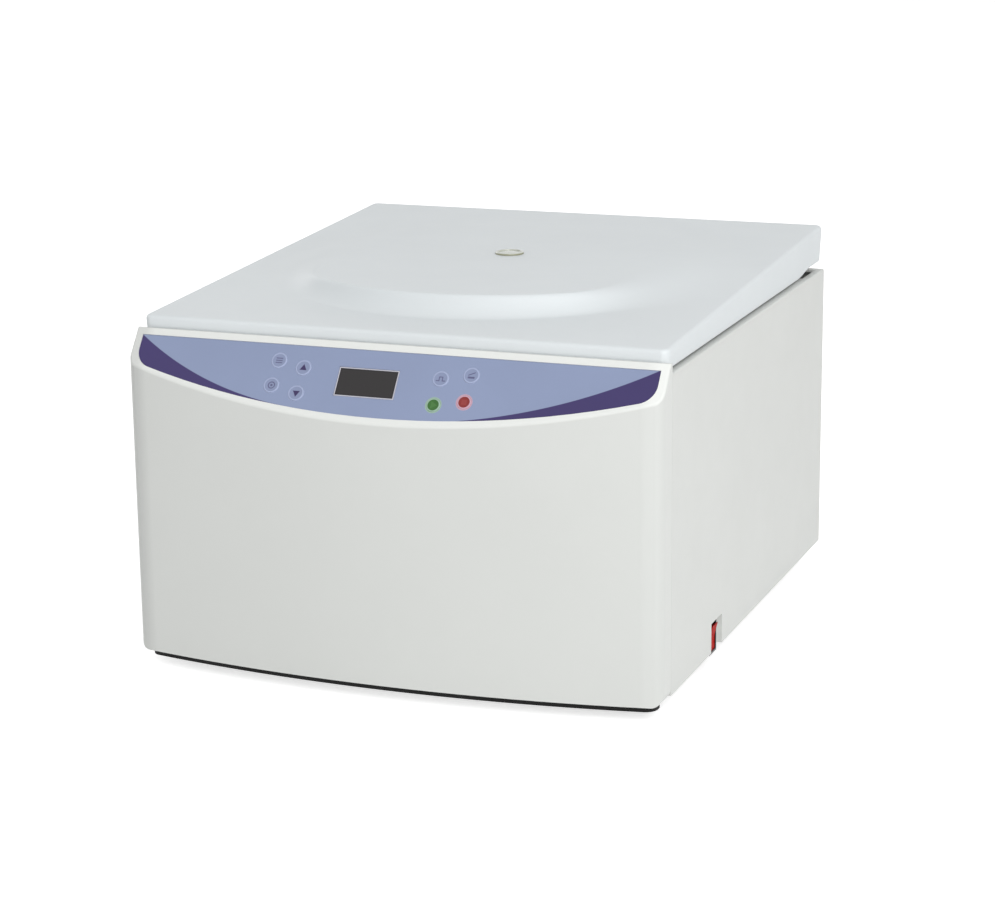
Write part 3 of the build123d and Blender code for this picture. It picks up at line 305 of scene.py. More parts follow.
def picked(values, names):
    # Several values of a piece's dictionary, named with spaces between them.
    return (values[name] for name in names.split())


def around(count):
    # Even turns round an axis.
    return np.linspace(0, 2 * pi, count, endpoint=False)


def spun(rings, turns, placing):
    # Rings round an axis, each a reach that may change with the turn, and a height. The matrix places them.
    rows = [(reach * np.cos(turns), reach * np.sin(turns), height + 0 * turns) for reach, height in rings]
    return moved(np.stack([np.stack(row, -1) for row in rows]), placing)


def arc(across, height, radius, turns):
    # Points on a circle in a profile, at the given turns from straight outwards.
    return np.stack([across + radius * np.cos(turns), height + radius * np.sin(turns)], 1)


def oblongReach(turns, half, wide):
    # How far a ray from the middle of an oblong runs to its edge.
    across, along = (np.maximum(np.abs(wave(turns)), 1e-9) for wave in (np.cos, np.sin))
    return np.minimum(half / across, wide / along)


def lathe(name, profile, placing, finish, count, closed=False):
    # A spun profile as a piece of its own. A closed one runs back to its first point.
    points = spun(profile, around(count), placing)
    return gridMesh(name, points, finish, wrapRows=closed, wrapColumns=True, flip=True)


def capped(rows, placing):
    # Closed rows of points, with both ends drawn in to their middles.
    first, last = (np.broadcast_to(row.mean(0), row.shape) for row in (rows[0], rows[-1]))
    return gridFaces(moved(np.stack([first, *rows, last]), placing), wrapColumns=True)


def stacked(outlines, levels, placing):
    # Closed outlines, one at each level.
    rows = [np.concatenate([line, np.full((len(line), 1), level)], 1) for line, level in zip(outlines, levels)]
    return capped(rows, placing)


corners = ((1, 1), (-1, 1), (-1, -1), (1, -1))  # the signs of x and y at each, in order round a plan


def oblong(width, height, corner, steps=5):
    # A rectangle with rounded corners. Each corner's arc runs from one side's direction to the next one's.
    share = np.linspace(0, 1, steps + 1)[:, None]
    lines = []
    for number, (side, end) in enumerate(corners):
        turn = number * pi / 2
        first, last = np.array([cos(turn), sin(turn)]), np.array([-sin(turn), cos(turn)])
        spoke = blend(first, last, share)
        centre = np.array([side * (width / 2 - corner), end * (height / 2 - corner)])
        lines.append(centre + spoke / np.linalg.norm(spoke, axis=1, keepdims=True) * corner)
    return np.concatenate(lines)


def facing(place, across, out):
    # The matrix for a piece drawn in x and y with z outwards, from its own x direction and its outward one.
    across, out = Vector(across), Vector(out)
    turn = Matrix((across, out.cross(across), out)).transposed()
    return Matrix.Translation(Vector(place)) @ turn.to_4x4()


def moved(points, placing):
    # Turns the points with the matrix's rotation and adds its shift.
    matrix = np.array(placing)
    return points @ matrix[:3, :3].T + matrix[:3, 3]


paint = moulded("cabinetPaint", shade(209, 211, 208), 0.46, 520.0, 0.00003, 0.985, haze=0.05)
lidPlastic = moulded("lidPlastic", shade(217, 222, 224), 0.5, 900.0, 0.000014, 0.985, haze=0.05)
blackRubber = moulded("blackRubber", shade(30, 30, 31), 0.72, 1600.0, 0.00006, 0.8)
skirtRubber = moulded("skirtRubber", shade(20, 20, 20), 0.6, 1200.0, 0.00004, 0.85, Specular_IOR_Level=0.2)
darkSteel = moulded("darkSteel", shade(44, 44, 46), 0.5, 600.0, 0.00004, 0.9)
blackPlastic = moulded("blackPlastic", shade(26, 26, 27), 0.42, 1400.0, 0.00003, 0.85)
zincSteel = brushed("zincSteel", (0.62, 0.62, 0.58), 0.38, "z", 0.000008, 900.0)
springPaint = moulded("springPaint", shade(22, 22, 24), 0.28, 700.0, 0.00001, 0.9, coat=0.3)
bowlSteel = turned("bowlSteel", (0.60, 0.60, 0.59), 0.26)
turnedSteel = turned("turnedSteel", (0.58, 0.58, 0.58), 0.3)
pinSteel = brushed("pinSteel", (0.60, 0.60, 0.60), 0.26, "x", 0.000005)
hingeSteel = brushed("hingeSteel", (0.58, 0.58, 0.57), 0.32, "x", 0.000006)
rotorAluminium = brushed("rotorAluminium", (0.50, 0.51, 0.53), 0.34, "y", 0.000008, 1600.0)
carrierAluminium = brushed("carrierAluminium", (0.56, 0.57, 0.59), 0.36, "y", 0.000008, 1600.0)
castAluminium = moulded("castAluminium", (0.5, 0.51, 0.52), 0.5, 420.0, 0.00012, 0.85, Metallic=1.0)
motorIron = moulded("motorIron", (0.16, 0.155, 0.15), 0.55, 500.0, 0.00006, 0.8, Metallic=0.8)
boardLaminate = moulded("boardLaminate", (0.02, 0.12, 0.05), 0.4, 900.0, 0.00003, 0.8, coat=0.3)
print("finishes made")

dress(paint, "left_side_panel", "right_side_panel", "rear_panel", "top_deck")
dress(linerFinish(), "lid_liner")
dress(blackRubber, "rubber_feet", "neck_boot", "shock_mounts", "lid_bumpers")
dress(skirtRubber, "front_skirt")
dress(darkSteel, "base_tray")
dress(zincSteel, "frame_posts", "lock_frame", "lid_striker", "spring_stud")
dress(bowlSteel, "chamber_bowl")
dress(turnedSteel, "rotor_nut", "drive_shaft")
dress(pinSteel, "trunnion_pins", "lock_bolt", "spring_rod", "hinge_pins")
dress(hingeSteel, "cabinet_hinges", "lid_hinges")
dress(rotorAluminium, "rotor_yoke")
dress(carrierAluminium, "left_plate_carrier", "right_plate_carrier")
dress(castAluminium, "motor_housing", "motor_plate", "heat_sink")
dress(motorIron, "motor_stator", "motor_magnets", "motor_bearings")
dress(boardLaminate, "control_board")
dress(blackPlastic, "switch_housing", "fan_frame", "lock_solenoid")
dress(springPaint, "spring_tube")
print("plain nodes dressed")

panel = {
    "origin": (0.0, -0.2077, 0.2629),  # middle of the overlay's upper edge
    "tilt": 37.2,  # degrees from the vertical
    "recess": 0.0016,
    "film": 0.001,
    "blue": shade(137, 149, 180),
    "purple": shade(55, 43, 99),
    "leftSwoosh": (-0.0424, -0.2391, 0.2913),  # centre across, centre down, radius
    "rightSwoosh": (-0.0036, -0.3650, 0.4216),
    "leftStop": -0.06, "rightStop": 0.02,  # each purple field ends here
    "swooshEdge": 0.0003, "ringEdge": 0.0002,  # half the width over which a printed edge fades
    # the rim's tone is a painted highlight, paler where the rounded edges round the overlay would catch the
    # light
    "front": shade(210, 212, 209), "rim": shade(225, 227, 224),
    "highlightDepth": (0.0015, 0.0003),  # the painted highlight on the rim fades from the second to the first, behind the panel's plane
    "roundStart": 0.198, "roundWidth": 0.009, "roundFall": 0.32,  # where the front starts to turn in
}
leanSine, leanCosine = sin(radians(panel["tilt"])), cos(radians(panel["tilt"]))
panelUp, panelOut = Vector((0.0, leanSine, leanCosine)), Vector((0.0, -leanCosine, leanSine))


def onPanel(across, down, out=0.0):
    # The matrix that puts a flat piece, drawn in x and y with z outwards, on the panel.
    place = Vector(panel["origin"]) + Vector((across, 0, 0)) - panelUp * down + panelOut * out
    return facing(place, (1, 0, 0), panelOut)


def panelReach(y, z, start, direction):
    # How far a place lies from the start along one of the panel's own directions.
    return (y - start[1]) * direction.y + (z - start[2]) * direction.z


def filmFinish():
    # Blue film. Purple fills what lies outside two large circles, one for each end of the crescent, and a pale
    # ring is printed round each key.
    finish = Finish("overlayFilm")
    place, x, y, z = finish.spots()
    down = panelReach(y, z, panel["origin"], -panelUp)

    def outside(across, along, radius, soft):
        sideways, below = x - across, down - along
        return ((sideways * sideways + below * below).root() - radius).ease(-soft, soft)

    left = outside(*panel["leftSwoosh"], panel["swooshEdge"]) * (x < panel["leftStop"])
    right = outside(*panel["rightSwoosh"], panel["swooshEdge"]) * (x > panel["rightStop"])
    blue = finish.drift(place, 14.0, 2.0, panel["blue"], 0.96)
    purple = finish.drift(place, 14.0, 2.0, panel["purple"], 0.9)
    tone = finish.mix(left + right, blue, purple)
    for name, (across, along, radius) in keys.items():
        halo, ring = radius + keyValue("halo", name), keyValue("tones", name)[1]
        tone = finish.mix(outside(across, along, halo, panel["ringEdge"]), ring, tone)
    finish.feed("Base Color", tone)
    finish.gloss(place, 60.0, 4.0, 0.35, 0.1, 0.3)
    finish.grain(place, 2600.0, 0.00001)
    return finish


def bezelFinish():
    # Moulded grain, with a painted highlight: a slightly paler rim round the overlay, lighter as if its edges
    # caught the light. A broad, slight fall towards both ends lets the upright corners turn softly: its slope
    # grows over the width and then stays.
    finish = moulded("bezelPlastic", panel["front"], 0.42, 900.0, 0.000012, 0.985, haze=0.05)
    x, y, z = finish.spots()[1:]
    # painted highlight: the bezel turns paler close behind the panel's plane, round the overlay
    paintedHighlight = panelReach(y, z, panel["origin"], -panelOut).ease(*panel["highlightDepth"])
    finish.feed("Base Color", finish.mix(paintedHighlight, finish.fed("Base Color"), panel["rim"]))
    past = (x.abs() - panel["roundStart"]).most(0.0)
    turning = past.least(panel["roundWidth"])
    fall = turning * turning * (0.5 / panel["roundWidth"]) + (past - turning)
    finish.feed("Normal", finish.bump(fall * -panel["roundFall"], 1.0, under=finish.fed("Normal")))
    return finish


dress(bezelFinish(), "front_bezel")

keys = {  # across and down from the panel's origin, and the radius
    "menu": (-0.0893, 0.0136, 0.0061), "up": (-0.0682, 0.0182, 0.0061),
    "select": (-0.0906, 0.0342, 0.0061), "down": (-0.0691, 0.0391, 0.0061),
    "pulse": (0.0429, 0.0190, 0.0061), "lid": (0.0661, 0.0145, 0.0061),
    "start": (0.0417, 0.0402, 0.0053), "stop": (0.0651, 0.0361, 0.0053),
}
keyLook = {  # a plain value is that of every key without one of its own
    "signScale": 1.4, "signEdge": 0.12,  # the edge in millimetres
    "tones": {  # of the middle, and of the ring on the key and round it
        "plain": (shade(132, 142, 173), shade(160, 171, 201)),
        "start": (shade(47, 98, 34), shade(150, 178, 160)), "stop": (shade(128, 34, 31), shade(196, 158, 174)),
    },
    "ink": {
        "plain": shade(88, 90, 124), "up": shade(50, 38, 84), "down": shade(50, 38, 84),
        "start": shade(62, 112, 50), "stop": shade(142, 50, 48),
    },
    "ringWidth": 0.0011, "spread": 0.00018,  # the cap's edge past the solid key's
    "halo": {"plain": 0.0005, "start": 0.0011, "stop": 0.0011},
    "floor": 0.0006, "proud": 0.0004, "round": 0.0004, "dish": 0.00025, "stem": 0.0025, "stemEnd": -0.0043,
}


def keyValue(kind, name):
    return keyLook[kind].get(name, keyLook[kind]["plain"])


def keyMark(name, s, t):
    # The sign on a key, 1 inside the ink. s runs to the right and t upwards from the key's middle, in
    # millimetres before the sign is scaled.
    scale = keyLook["signScale"]
    s, t = s * (1 / scale), t * (1 / scale)

    def inside(distance):
        return distance.ease(keyLook["signEdge"], -keyLook["signEdge"])

    def bar(x, y, halfWidth, halfHeight):
        return inside(((s - x).abs() - halfWidth).most((t - y).abs() - halfHeight))

    def wedge(across, along):
        # A triangle that points along its second direction.
        return inside((across.abs() * 0.86 + along * 0.5 - 1.1).most(along * -1 - 1.3))

    radius = (s * s + t * t).root()
    signs = {
        "up": lambda: wedge(s, t), "down": lambda: wedge(s, t * -1), "start": lambda: wedge(t, s),
        "stop": lambda: bar(0, 0, 1.5, 1.5),
        "menu": lambda: bar(0, 1.3, 1.9, 0.28).most(bar(0, 0, 1.9, 0.28)).most(bar(0, -1.3, 1.9, 0.28)),
        "select": lambda: inside((radius - 1.8).abs() - 0.3).most(inside(radius - 0.7)),
        "pulse": lambda: bar(-1.7, -1.1, 0.9, 0.28).most(bar(-0.9, 0, 0.28, 1.3)).most(bar(0, 1.1, 1.1, 0.28))
        .most(bar(0.9, 0, 0.28, 1.3)).most(bar(1.7, -1.1, 0.9, 0.28)),
        "lid": lambda: bar(0, -1.2, 1.9, 0.55).most(
            inside((t - s * 0.45 - 0.9).abs() - 0.3) * bar(0, 0.9, 1.9, 1.6)),
    }
    return signs[name]()


def keyFinish(name, across, down, radius):
    # A ring beyond a radius about the key's middle, the cap's middle within it, and a sign in ink on that.
    middle, ring = keyValue("tones", name)
    finish = Finish(name + "KeyFilm")
    spot, x, y, z = finish.spots()
    centre = onPanel(across, down).to_translation()
    sideways = (x - centre.x) * 1000.0
    upward = panelReach(y, z, centre, panelUp) * 1000.0
    reach = (sideways * sideways + upward * upward).root()
    rim = (radius - keyLook["ringWidth"]) * 1000.0
    cap = finish.mix(keyMark(name, sideways, upward), middle, keyValue("ink", name))
    finish.feed("Base Color", finish.mix(reach.ease(rim - 0.1, rim + 0.1), cap, ring))
    finish.gloss(spot, 90.0, 3.0, 0.3, 0.1, 0.32)
    finish.grain(spot, 2200.0, 0.000012)
    return finish


def keyCap(name, across, down, solidRadius):
    # A shallow dish inside a raised rim, over a thin stem, turned about the panel's normal.
    radius, bend = solidRadius + keyLook["spread"], keyLook["round"]
    base, top = -panel["recess"] + keyLook["floor"], -panel["recess"] + panel["film"] + keyLook["proud"]
    rim = radius - keyLook["ringWidth"]
    edge = arc(radius - bend, top - bend, bend, np.linspace(0, pi / 2, 6))
    share = np.linspace(0, 1, 9)
    dish = np.stack([rim * share, top - keyLook["dish"] * (1 - smoothStep(share, 0, 1) ** 3)], 1)
    stem, end = keyLook["stem"], keyLook["stemEnd"]
    under = [(0, end), (stem, end), (stem, base), (radius, base)]
    profile = np.concatenate([under, edge, dish[::-1]])
    piece = lathe(name + "KeyCap", profile, onPanel(across, down), keyFinish(name, across, down, radius), 40)
    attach(piece, name + "_key")
    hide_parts(name + "_key")


dress(filmFinish(), "control_overlay")
for keyName, keyPlace in keys.items():
    keyCap(keyName, *keyPlace)

window = {
    "middle": (-0.01485, 0.0268), "size": (0.0483, 0.0236), "frame": 0.0009, "glassDrop": 0.0002,
    "frameTone": shade(186, 186, 196), "glass": shade(28, 24, 27), "cell": shade(34, 31, 32), "border": 0.0022,
    "bevel": 0.0001, "corner": 0.0006,
}


def displayWindow():
    # A thin pale frame round dark glass. The cell behind the glass shows as a slightly paler field.
    across, down = window["middle"]
    width, height = window["size"]
    frameWidth, bevel = window["frame"], window["bevel"]
    finish = Finish("displayGlass", Coat_Weight=0.3, Coat_Roughness=0.04, Specular_IOR_Level=0.3)
    spot, x, y, z = finish.spots()
    centre = onPanel(across, down).to_translation()
    sideways = (x - centre.x).abs()
    upward = panelReach(y, z, centre, panelUp).abs()

    def within(inset):
        edge = (sideways - (width / 2 - inset)).most(upward - (height / 2 - inset))
        return edge.ease(bevel, -bevel)

    cell = finish.mix(within(window["border"]), window["glass"], window["cell"])
    finish.feed("Base Color", finish.mix(within(frameWidth), window["frameTone"], cell))
    finish.gloss(spot, 70.0, 4.0, 0.3, 0.08, 0.16)
    finish.grain(spot, 400.0, 0.000004)
    base, top = -panel["recess"], -panel["recess"] + panel["film"]
    insets = (0, 0, bevel, frameWidth - bevel, frameWidth, frameWidth)
    levels = (base, top - bevel, top, top, top - bevel / 2, top - window["glassDrop"])
    outlines = [oblong(width - 2 * inset, height - 2 * inset, window["corner"]) for inset in insets]
    piece = meshOf("displayFrame", [stacked(outlines, levels, onPanel(across, down))], finish)
    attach(piece, "cabinet")
    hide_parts("display_window")


displayWindow()
print("panel made")

lid = {
    "half": 0.2115, "front": -0.2008, "rear": 0.2434, "corner": 0.0065,
    "foot": 0.2655, "skirt": 0.2617, "skirtEnd": (0.17, 0.205),  # the edge hangs lower ahead of the hinges
    "frontTop": 0.2764, "slope": 2.62,
    "discTop": 0.2950, "sideways": (33, 74),  # degrees from the front over which the second values take over
    "rim": (0.180, 0.150), "softness": (0.0014, 0.016), "flank": (0.016, 0.056),
    "edge": 0.0035, "wall": 0.003, "lip": 0.0007, "bevel": 0.005, "hole": 0.00985, "holeBevel": 0.0006,
    "draft": 3.0,  # degrees that the sides draw in towards their lower edge
    "discRings": (0.016, 0.03, 0.055, 0.085, 0.115), "innerRings": (0.1, 0.04),
}


def lidTurns():
    # Even directions round the spindle, with more of them through the four corners of the plan.
    even = np.linspace(-pi, pi, 180, endpoint=False)
    fan = np.linspace(0, pi / 2, 14)
    extra = []
    for number, (side, end) in enumerate(corners):
        y = (lid["rear"] if end > 0 else lid["front"]) - end * lid["corner"] - spindleY
        x = side * (lid["half"] - lid["corner"])
        turn = fan + number * pi / 2
        extra.append(np.arctan2(y + lid["corner"] * np.sin(turn), x + lid["corner"] * np.cos(turn)))
    return np.unique(np.round(np.concatenate([even, *extra]), 5))


def lidReach(turns, inset):
    # How far a ray from the spindle runs to the lid's plan, moved in by the inset. Where it passes a straight
    # side beyond the start of a corner, the distance to that corner's circle is taken.
    across, along = np.cos(turns), np.sin(turns)
    corner = np.maximum(lid["corner"] - inset, 0.0008)
    half = lid["half"] - inset
    side = np.where(along > 0, lid["rear"] - inset, lid["front"] + inset) - spindleY
    straight = oblongReach(turns, half, np.abs(side))
    middleX, middleY = np.sign(across) * (half - corner), side - np.sign(side) * corner
    forward = middleX * across + middleY * along
    curved = forward + np.sqrt(np.maximum(corner ** 2 - middleX ** 2 - middleY ** 2 + forward ** 2, 0))
    beyond = (np.abs(straight * across) > np.abs(middleX)) & (np.abs(straight * along) > np.abs(middleY))
    return np.where(beyond, curved, straight)


def lidFlank(turns):
    # The disc's rim, the softness of its edge and the flank's width, each between its front and side values.
    off = np.degrees(np.abs(np.arctan2(np.cos(turns), -np.sin(turns))))
    share = smoothStep(off, *lid["sideways"])
    return [blend(*ends, share) for ends in picked(lid, "rim softness flank")]


def lidTop(turns, radius):
    # Height of the upper face. A sloping plane carries a level disc, and the flank between them falls with the
    # square of the share still to go, steep at the rim and flat at its foot. Averaging softens the rim.
    y = spindleY + radius * np.sin(turns)
    plane = lid["frontTop"] + tan(radians(lid["slope"])) * (y - lid["front"])
    rim, softness, width = lidFlank(turns)
    shift = np.linspace(-1, 1, 17)[:, None] * softness
    share = np.clip(1 - (radius - rim + shift) / width, 0, 1)
    return plane + np.maximum(lid["discTop"] - plane, 0) * (share ** 2).mean(0)


def lidCover(finish):
    # Rings round the spindle: up the hole, over the disc and the plane, round the edge, under and back inside.
    # The small fixed steps keep neighbouring rings apart.
    turns = lidTurns()
    radii, heights = [], []

    def ring(radius, height=None, drop=0.0):
        radius = np.broadcast_to(np.asarray(radius, float), turns.shape)
        radii.append(radius)
        height = lidTop(turns, radius) - drop if height is None else height
        heights.append(np.broadcast_to(height, turns.shape))

    ring(lid["hole"], drop=lid["holeBevel"])
    for radius in (lid["hole"] + lid["holeBevel"], *lid["discRings"]):
        ring(radius)
    rim, softness, width = lidFlank(turns)
    edge = lidReach(turns, lid["edge"])
    start, toe = rim - 1.3 * softness - 0.001, np.minimum(rim + width, edge - 0.003)
    for share in np.linspace(0, 1, 30) ** 1.3:
        ring(blend(start, toe, share))
    for share in (0.2, 0.45, 0.7, 0.9, 1.0):
        ring(blend(toe, edge, share))
    top = lidTop(turns, edge)
    for turn in np.linspace(0, pi / 2, 7)[1:]:
        inset = lid["edge"] * (1 - sin(turn))
        ring(lidReach(turns, inset), top - lid["edge"] * (1 - cos(turn)))
    outer = lidReach(turns, 0.0)
    y = spindleY + outer * np.sin(turns)
    atRear = smoothStep(y, lid["rear"] - lid["corner"], lid["rear"] - 0.001)
    bevel = blend(lid["lip"], lid["bevel"], atRear)
    foot = blend(lid["skirt"], lid["foot"], smoothStep(y, *lid["skirtEnd"]))
    side = foot + bevel
    drawn = tan(radians(lid["draft"])) * (top - lid["edge"] - side)
    ring(lidReach(turns, 0.5 * drawn), blend(top - lid["edge"], side, 0.5))
    ring(lidReach(turns, drawn), side)
    ring(lidReach(turns, drawn + 0.5 * bevel), foot + 0.5 * bevel)
    ring(lidReach(turns, drawn + bevel), foot)
    inner = lidReach(turns, drawn + np.maximum(lid["wall"], bevel + 0.0012))
    ring(inner, foot)
    ring(inner, lidTop(turns, inner) - lid["wall"] - 0.001)
    ring(inner - 0.001, drop=lid["wall"])
    toe = np.minimum(toe, inner - 0.002)
    for share in np.linspace(1, 0, 20):
        ring(blend(start, toe, share), drop=lid["wall"])
    for radius in (*lid["innerRings"], lid["hole"]):
        ring(radius, drop=lid["wall"])
    radius, height = np.stack(radii), np.stack(heights)
    points = np.stack([radius * np.cos(turns), spindleY + radius * np.sin(turns), height], -1)
    return gridMesh("lidCover", points, finish, wrapRows=True, wrapColumns=True)


lidPiece = lidCover(lidPlastic)
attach(lidPiece, "lid")
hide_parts("lid_shell")

port = {
    "radius": 0.0118, "top": 0.2968, "round": 0.0009, "seat": 0.2951, "shank": 0.0097, "foot": 0.2656,
    "lens": 0.0092, "groove": 0.001, "sunk": 0.0002, "sag": 0.0008,
    "tone": shade(200, 204, 196), "edge": shade(146, 146, 122),
}


def portFinish():
    # Clear plastic gone a little grey, with an olive tinge where the flange's edge shows through it.
    finish = Finish("portPlastic", Coat_Weight=0.2)
    spot, x, y, z = finish.spots()
    radius, lens = fromSpindle(x, y), port["lens"]
    rim = z.ease(port["top"] - 0.0002, port["top"] - 0.0006) * (radius > lens + 0.001)
    lip = radius.ease(lens - 0.0004, lens) * radius.ease(lens + 0.0008, lens + 0.0004)
    tone = finish.drift(spot, 90.0, 3.0, port["tone"], 0.94)
    finish.feed("Base Color", finish.mix(rim.most(lip * 0.3), tone, port["edge"]))
    finish.gloss(spot, 160.0, 4.0, 0.35, 0.1, 0.2)
    finish.grain(spot, 900.0, 0.000006)
    return finish


def makePort():
    # A flanged disc with a shallow dome of clear plastic in the middle of the lid.
    top, outer, inner, bend, stem, foot, seat = picked(port, "top radius lens round shank foot seat")
    edge = arc(outer - bend, top - bend, bend, np.linspace(0, pi / 2, 5))
    dome = np.linspace(inner, 0, 8)
    lens = np.stack([dome, top - port["sunk"] - port["sag"] * (dome / inner) ** 2], 1)
    shank = [(0, foot), (stem, foot), (stem, seat), (outer, seat)]
    groove = [(inner + 0.0006, top), (inner + 0.0002, top - port["groove"])]
    profile = np.concatenate([shank, edge, groove, lens])
    piece = lathe("portLens", profile, onSpindle, portFinish(), 56)
    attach(piece, "lid")
    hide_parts("sight_port")


makePort()
print("lid made")

rocker = {
    "axis": (0.209, -0.0864, 0.0265), "rest": 9.0,  # degrees that it leans at rest
    "half": 0.0109, "width": 0.0069, "round": 0.0006, "waist": 0.0034, "upper": 0.0042, "lower": 0.0050,
    "valley": 1.3, "heel": (-0.002, 0.0057),
    "bar": (5.4, 1.7, 0.35),  # millimetres: its middle above the axis, half its height, half its width
    "loop": (-5.4, 1.6, 0.32), "inkEdge": 0.1,  # the same for the loop's middle, its radius, half its line
    "red": shade(176, 22, 14), "mark": shade(196, 66, 54),
}


def rockerFinish():
    # Red plastic with a bar pressed in its upper half and a ring in its lower half.
    finish = Finish("rockerRed", Specular_IOR_Level=0.03)
    spot, x, y, z = finish.spots()
    across, up = (y - rocker["axis"][1]) * 1000.0, (z - rocker["axis"][2]) * 1000.0
    edge = rocker["inkEdge"]
    middle, tall, wide = rocker["bar"]
    bar = (across.abs() - wide).most((up - middle).abs() - tall).ease(edge, -edge)
    middle, radius, wide = rocker["loop"]
    rise = up - middle
    loop = (((rise * rise + across * across).root() - radius).abs() - wide).ease(edge, -edge)
    ink = bar.most(loop) * (x > rocker["axis"][0] + 0.002)
    red = finish.drift(spot, 120.0, 2.0, rocker["red"], 0.9)
    finish.feed("Base Color", finish.mix(ink, red, rocker["mark"]))
    finish.gloss(spot, 300.0, 3.0, 0.3, 0.12, 0.42)
    finish.feed("Normal", finish.bump(finish.cloud(spot, 1800.0, 2.0) - ink * 0.6, 0.00003))
    return finish


def makeRocker():
    # A side outline with a shallow valley across its face, drawn in a little at both cheeks.
    fall = np.linspace(1, -1, 15)
    tip = np.where(fall > 0, rocker["upper"], rocker["lower"])
    bulge = (tip - rocker["waist"]) * np.abs(fall) ** rocker["valley"]
    face = np.stack([rocker["waist"] + bulge, fall * rocker["half"]], 1)
    depth, high = rocker["heel"]
    back = np.array([[depth, -high], [depth, high]])
    outline = np.concatenate([face, back])
    middle = outline.mean(0)
    shrink = 1 - rocker["round"] / rocker["half"] * np.array([1.4, 0.4, 0.0, 0.0, 0.4, 1.4])
    outlines = [middle + (outline - middle) * share for share in shrink]
    half, edge = rocker["width"], rocker["round"]
    levels = (-half, -half + 0.3 * edge, -half + edge, half - edge, half - 0.3 * edge, half)
    lean = Matrix.Rotation(radians(rocker["rest"]), 4, "Y")
    placing = Matrix.Translation(rocker["axis"]) @ lean @ facing((0, 0, 0), (1, 0, 0), (0, -1, 0))
    piece = meshOf("rockerKey", [stacked(outlines, levels, placing)], rockerFinish(), 35)
    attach(piece, "rocker")
    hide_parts("power_rocker")


makeRocker()
print("switch made")

screw = {
    "cut": 0.66, "arm": 0.19, "depth": 0.6, "crown": 0.8,  # shares of a head's radius and height
    "size": (0.003, 0.0016), "rimSize": (0.0024, 0.0016), "linerSize": (0.003, 0.0008),  # radius and height
    "rim": (0.183025, 0.2607),  # the circle of screws round the chamber, and its height
    "deck": [(x * side, y, 0.2595) for x, y in ((0.185, -0.1868), (0.150, 0.2051)) for side in (-1, 1)],
    "rear": [(x, rearFace, z) for x in (-0.199, 0.199) for z in (0.03, 0.13775, 0.2455)],
    "board": [(x, below, -0.0102) for x in (-0.103, 0.075) for below in (0.014, 0.040)],  # on the panel
    "liner": [(x, y, 0.2655) for x, y in ((-0.1995, -0.1888), (0.0, -0.1888), (0.1995, -0.1888),
                                          (-0.1995, 0.1651), (0.1995, 0.1651))],
}


def screwHead(place, out, radius, rise, across=(1, 0, 0)):
    # Rings up the wall and over the crown, then down into a cross, the outline of two crossed oblongs.
    turns, cut, arm = around(48), screw["cut"], screw["arm"]
    cross = np.maximum(oblongReach(turns, cut, arm), oblongReach(turns, arm, cut)) * radius
    floor = rise * (1 - screw["depth"])
    rings = [(radius, 0), (radius, 0.5 * rise), (0.94 * radius, screw["crown"] * rise), (0.8 * radius, rise),
             (cross, rise), (cross * 0.85, floor), (0, floor)]
    return gridFaces(spun(rings, turns, facing(place, across, out)), wrapColumns=True)


def screwHeads(places, out, size):
    return [screwHead(place, out, *screw[size]) for place in places]


def screwPiece(name, heads, body, node=None):
    # Several heads as one piece.
    piece = meshOf(name, heads, zincSteel, 30)
    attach(piece, body)
    if node:
        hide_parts(node)


up, down, rearward = (0, 0, 1), (0, 0, -1), (0, 1, 0)
deckHeads = screwHeads(screw["deck"], up, "size")
rimPlaces = spun([screw["rim"]], radians(30) + around(6), onSpindle)[0]
rimHeads = screwHeads(rimPlaces, up, "rimSize")
rearHeads = screwHeads(screw["rear"], rearward, "size")
boardHeads = screwHeads([onPanel(*spot).to_translation() for spot in screw["board"]], -panelOut, "size")
screwPiece("cabinetScrews", deckHeads + rimHeads + rearHeads + boardHeads, "cabinet", "cabinet_screws")
screwPiece("linerScrews", screwHeads(screw["liner"], down, "linerSize"), "lid", "liner_screws")
print("screws made")

gasket = {
    "inner": 0.17556, "outer": 0.18, "base": 0.2607, "shoulder": 0.2620, "chamfer": (0.0006, 0.0003),
    "bead": (0.17778, 0.2633, 0.0019),  # the bead's radius and height, and half its thickness
}


def makeGasket():
    # A flat foot with a round bead on it, carried round the rotor's axis.
    inner, outer, base, shoulder = picked(gasket, "inner outer base shoulder")
    inset, rise = gasket["chamfer"]
    radius, height, half = gasket["bead"]
    top = shoulder + rise
    bead = arc(radius, height, half, np.radians(np.linspace(-15, 195, 15)))
    foot = [(inner, shoulder), (inner, base), (outer, base), (outer, shoulder), (outer - inset, top)]
    profile = np.concatenate([foot, bead, [(inner + inset, top)]])
    piece = lathe("gasketBead", profile, onSpindle, blackRubber, 160, closed=True)
    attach(piece, "cabinet")
    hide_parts("chamber_gasket")


makeGasket()

fan = {
    "x": -0.060, "z": 0.080, "wire": 0.0006, "rings": (0.0089, 0.0184, 0.0279, 0.0374),
    "screws": 0.0506, "eye": 0.0034, "screwSize": (0.0028, 0.0018),
    "span": (0.2101, 0.22585), "hub": 0.016, "bore": 0.00205, "wall": 0.003, "draft": 0.0004, "dish": 0.0006,
    "hubEdge": ((0.0012, 0.0), (0.0003, 0.0004), (0.0, 0.0014)),  # steps in from the hub's wall and its end
    "blades": 7, "root": 0.0006, "tip": 0.0365, "arch": 0.0014, "thick": 0.0006, "sweep": 0.35,
    "pitch": (42, 27), "chord": (0.0175, 0.0235),  # at the hub and at the tip
}
inlet = {
    "x": 0.095, "z": 0.062, "flange": 0.2381, "screws": 0.020, "screwSize": (0.0026, 0.0012),
    "bladesAcross": 0.0085, "bladesUp": 0.0045, "bladesAlong": (0.2222, 0.2345),  # round its blades
    "metal": (0.66, 0.64, 0.58),
}


def facingRear(place):
    # The matrix for a round piece on the rear panel.
    return facing(place, (1, 0, 0), rearward)


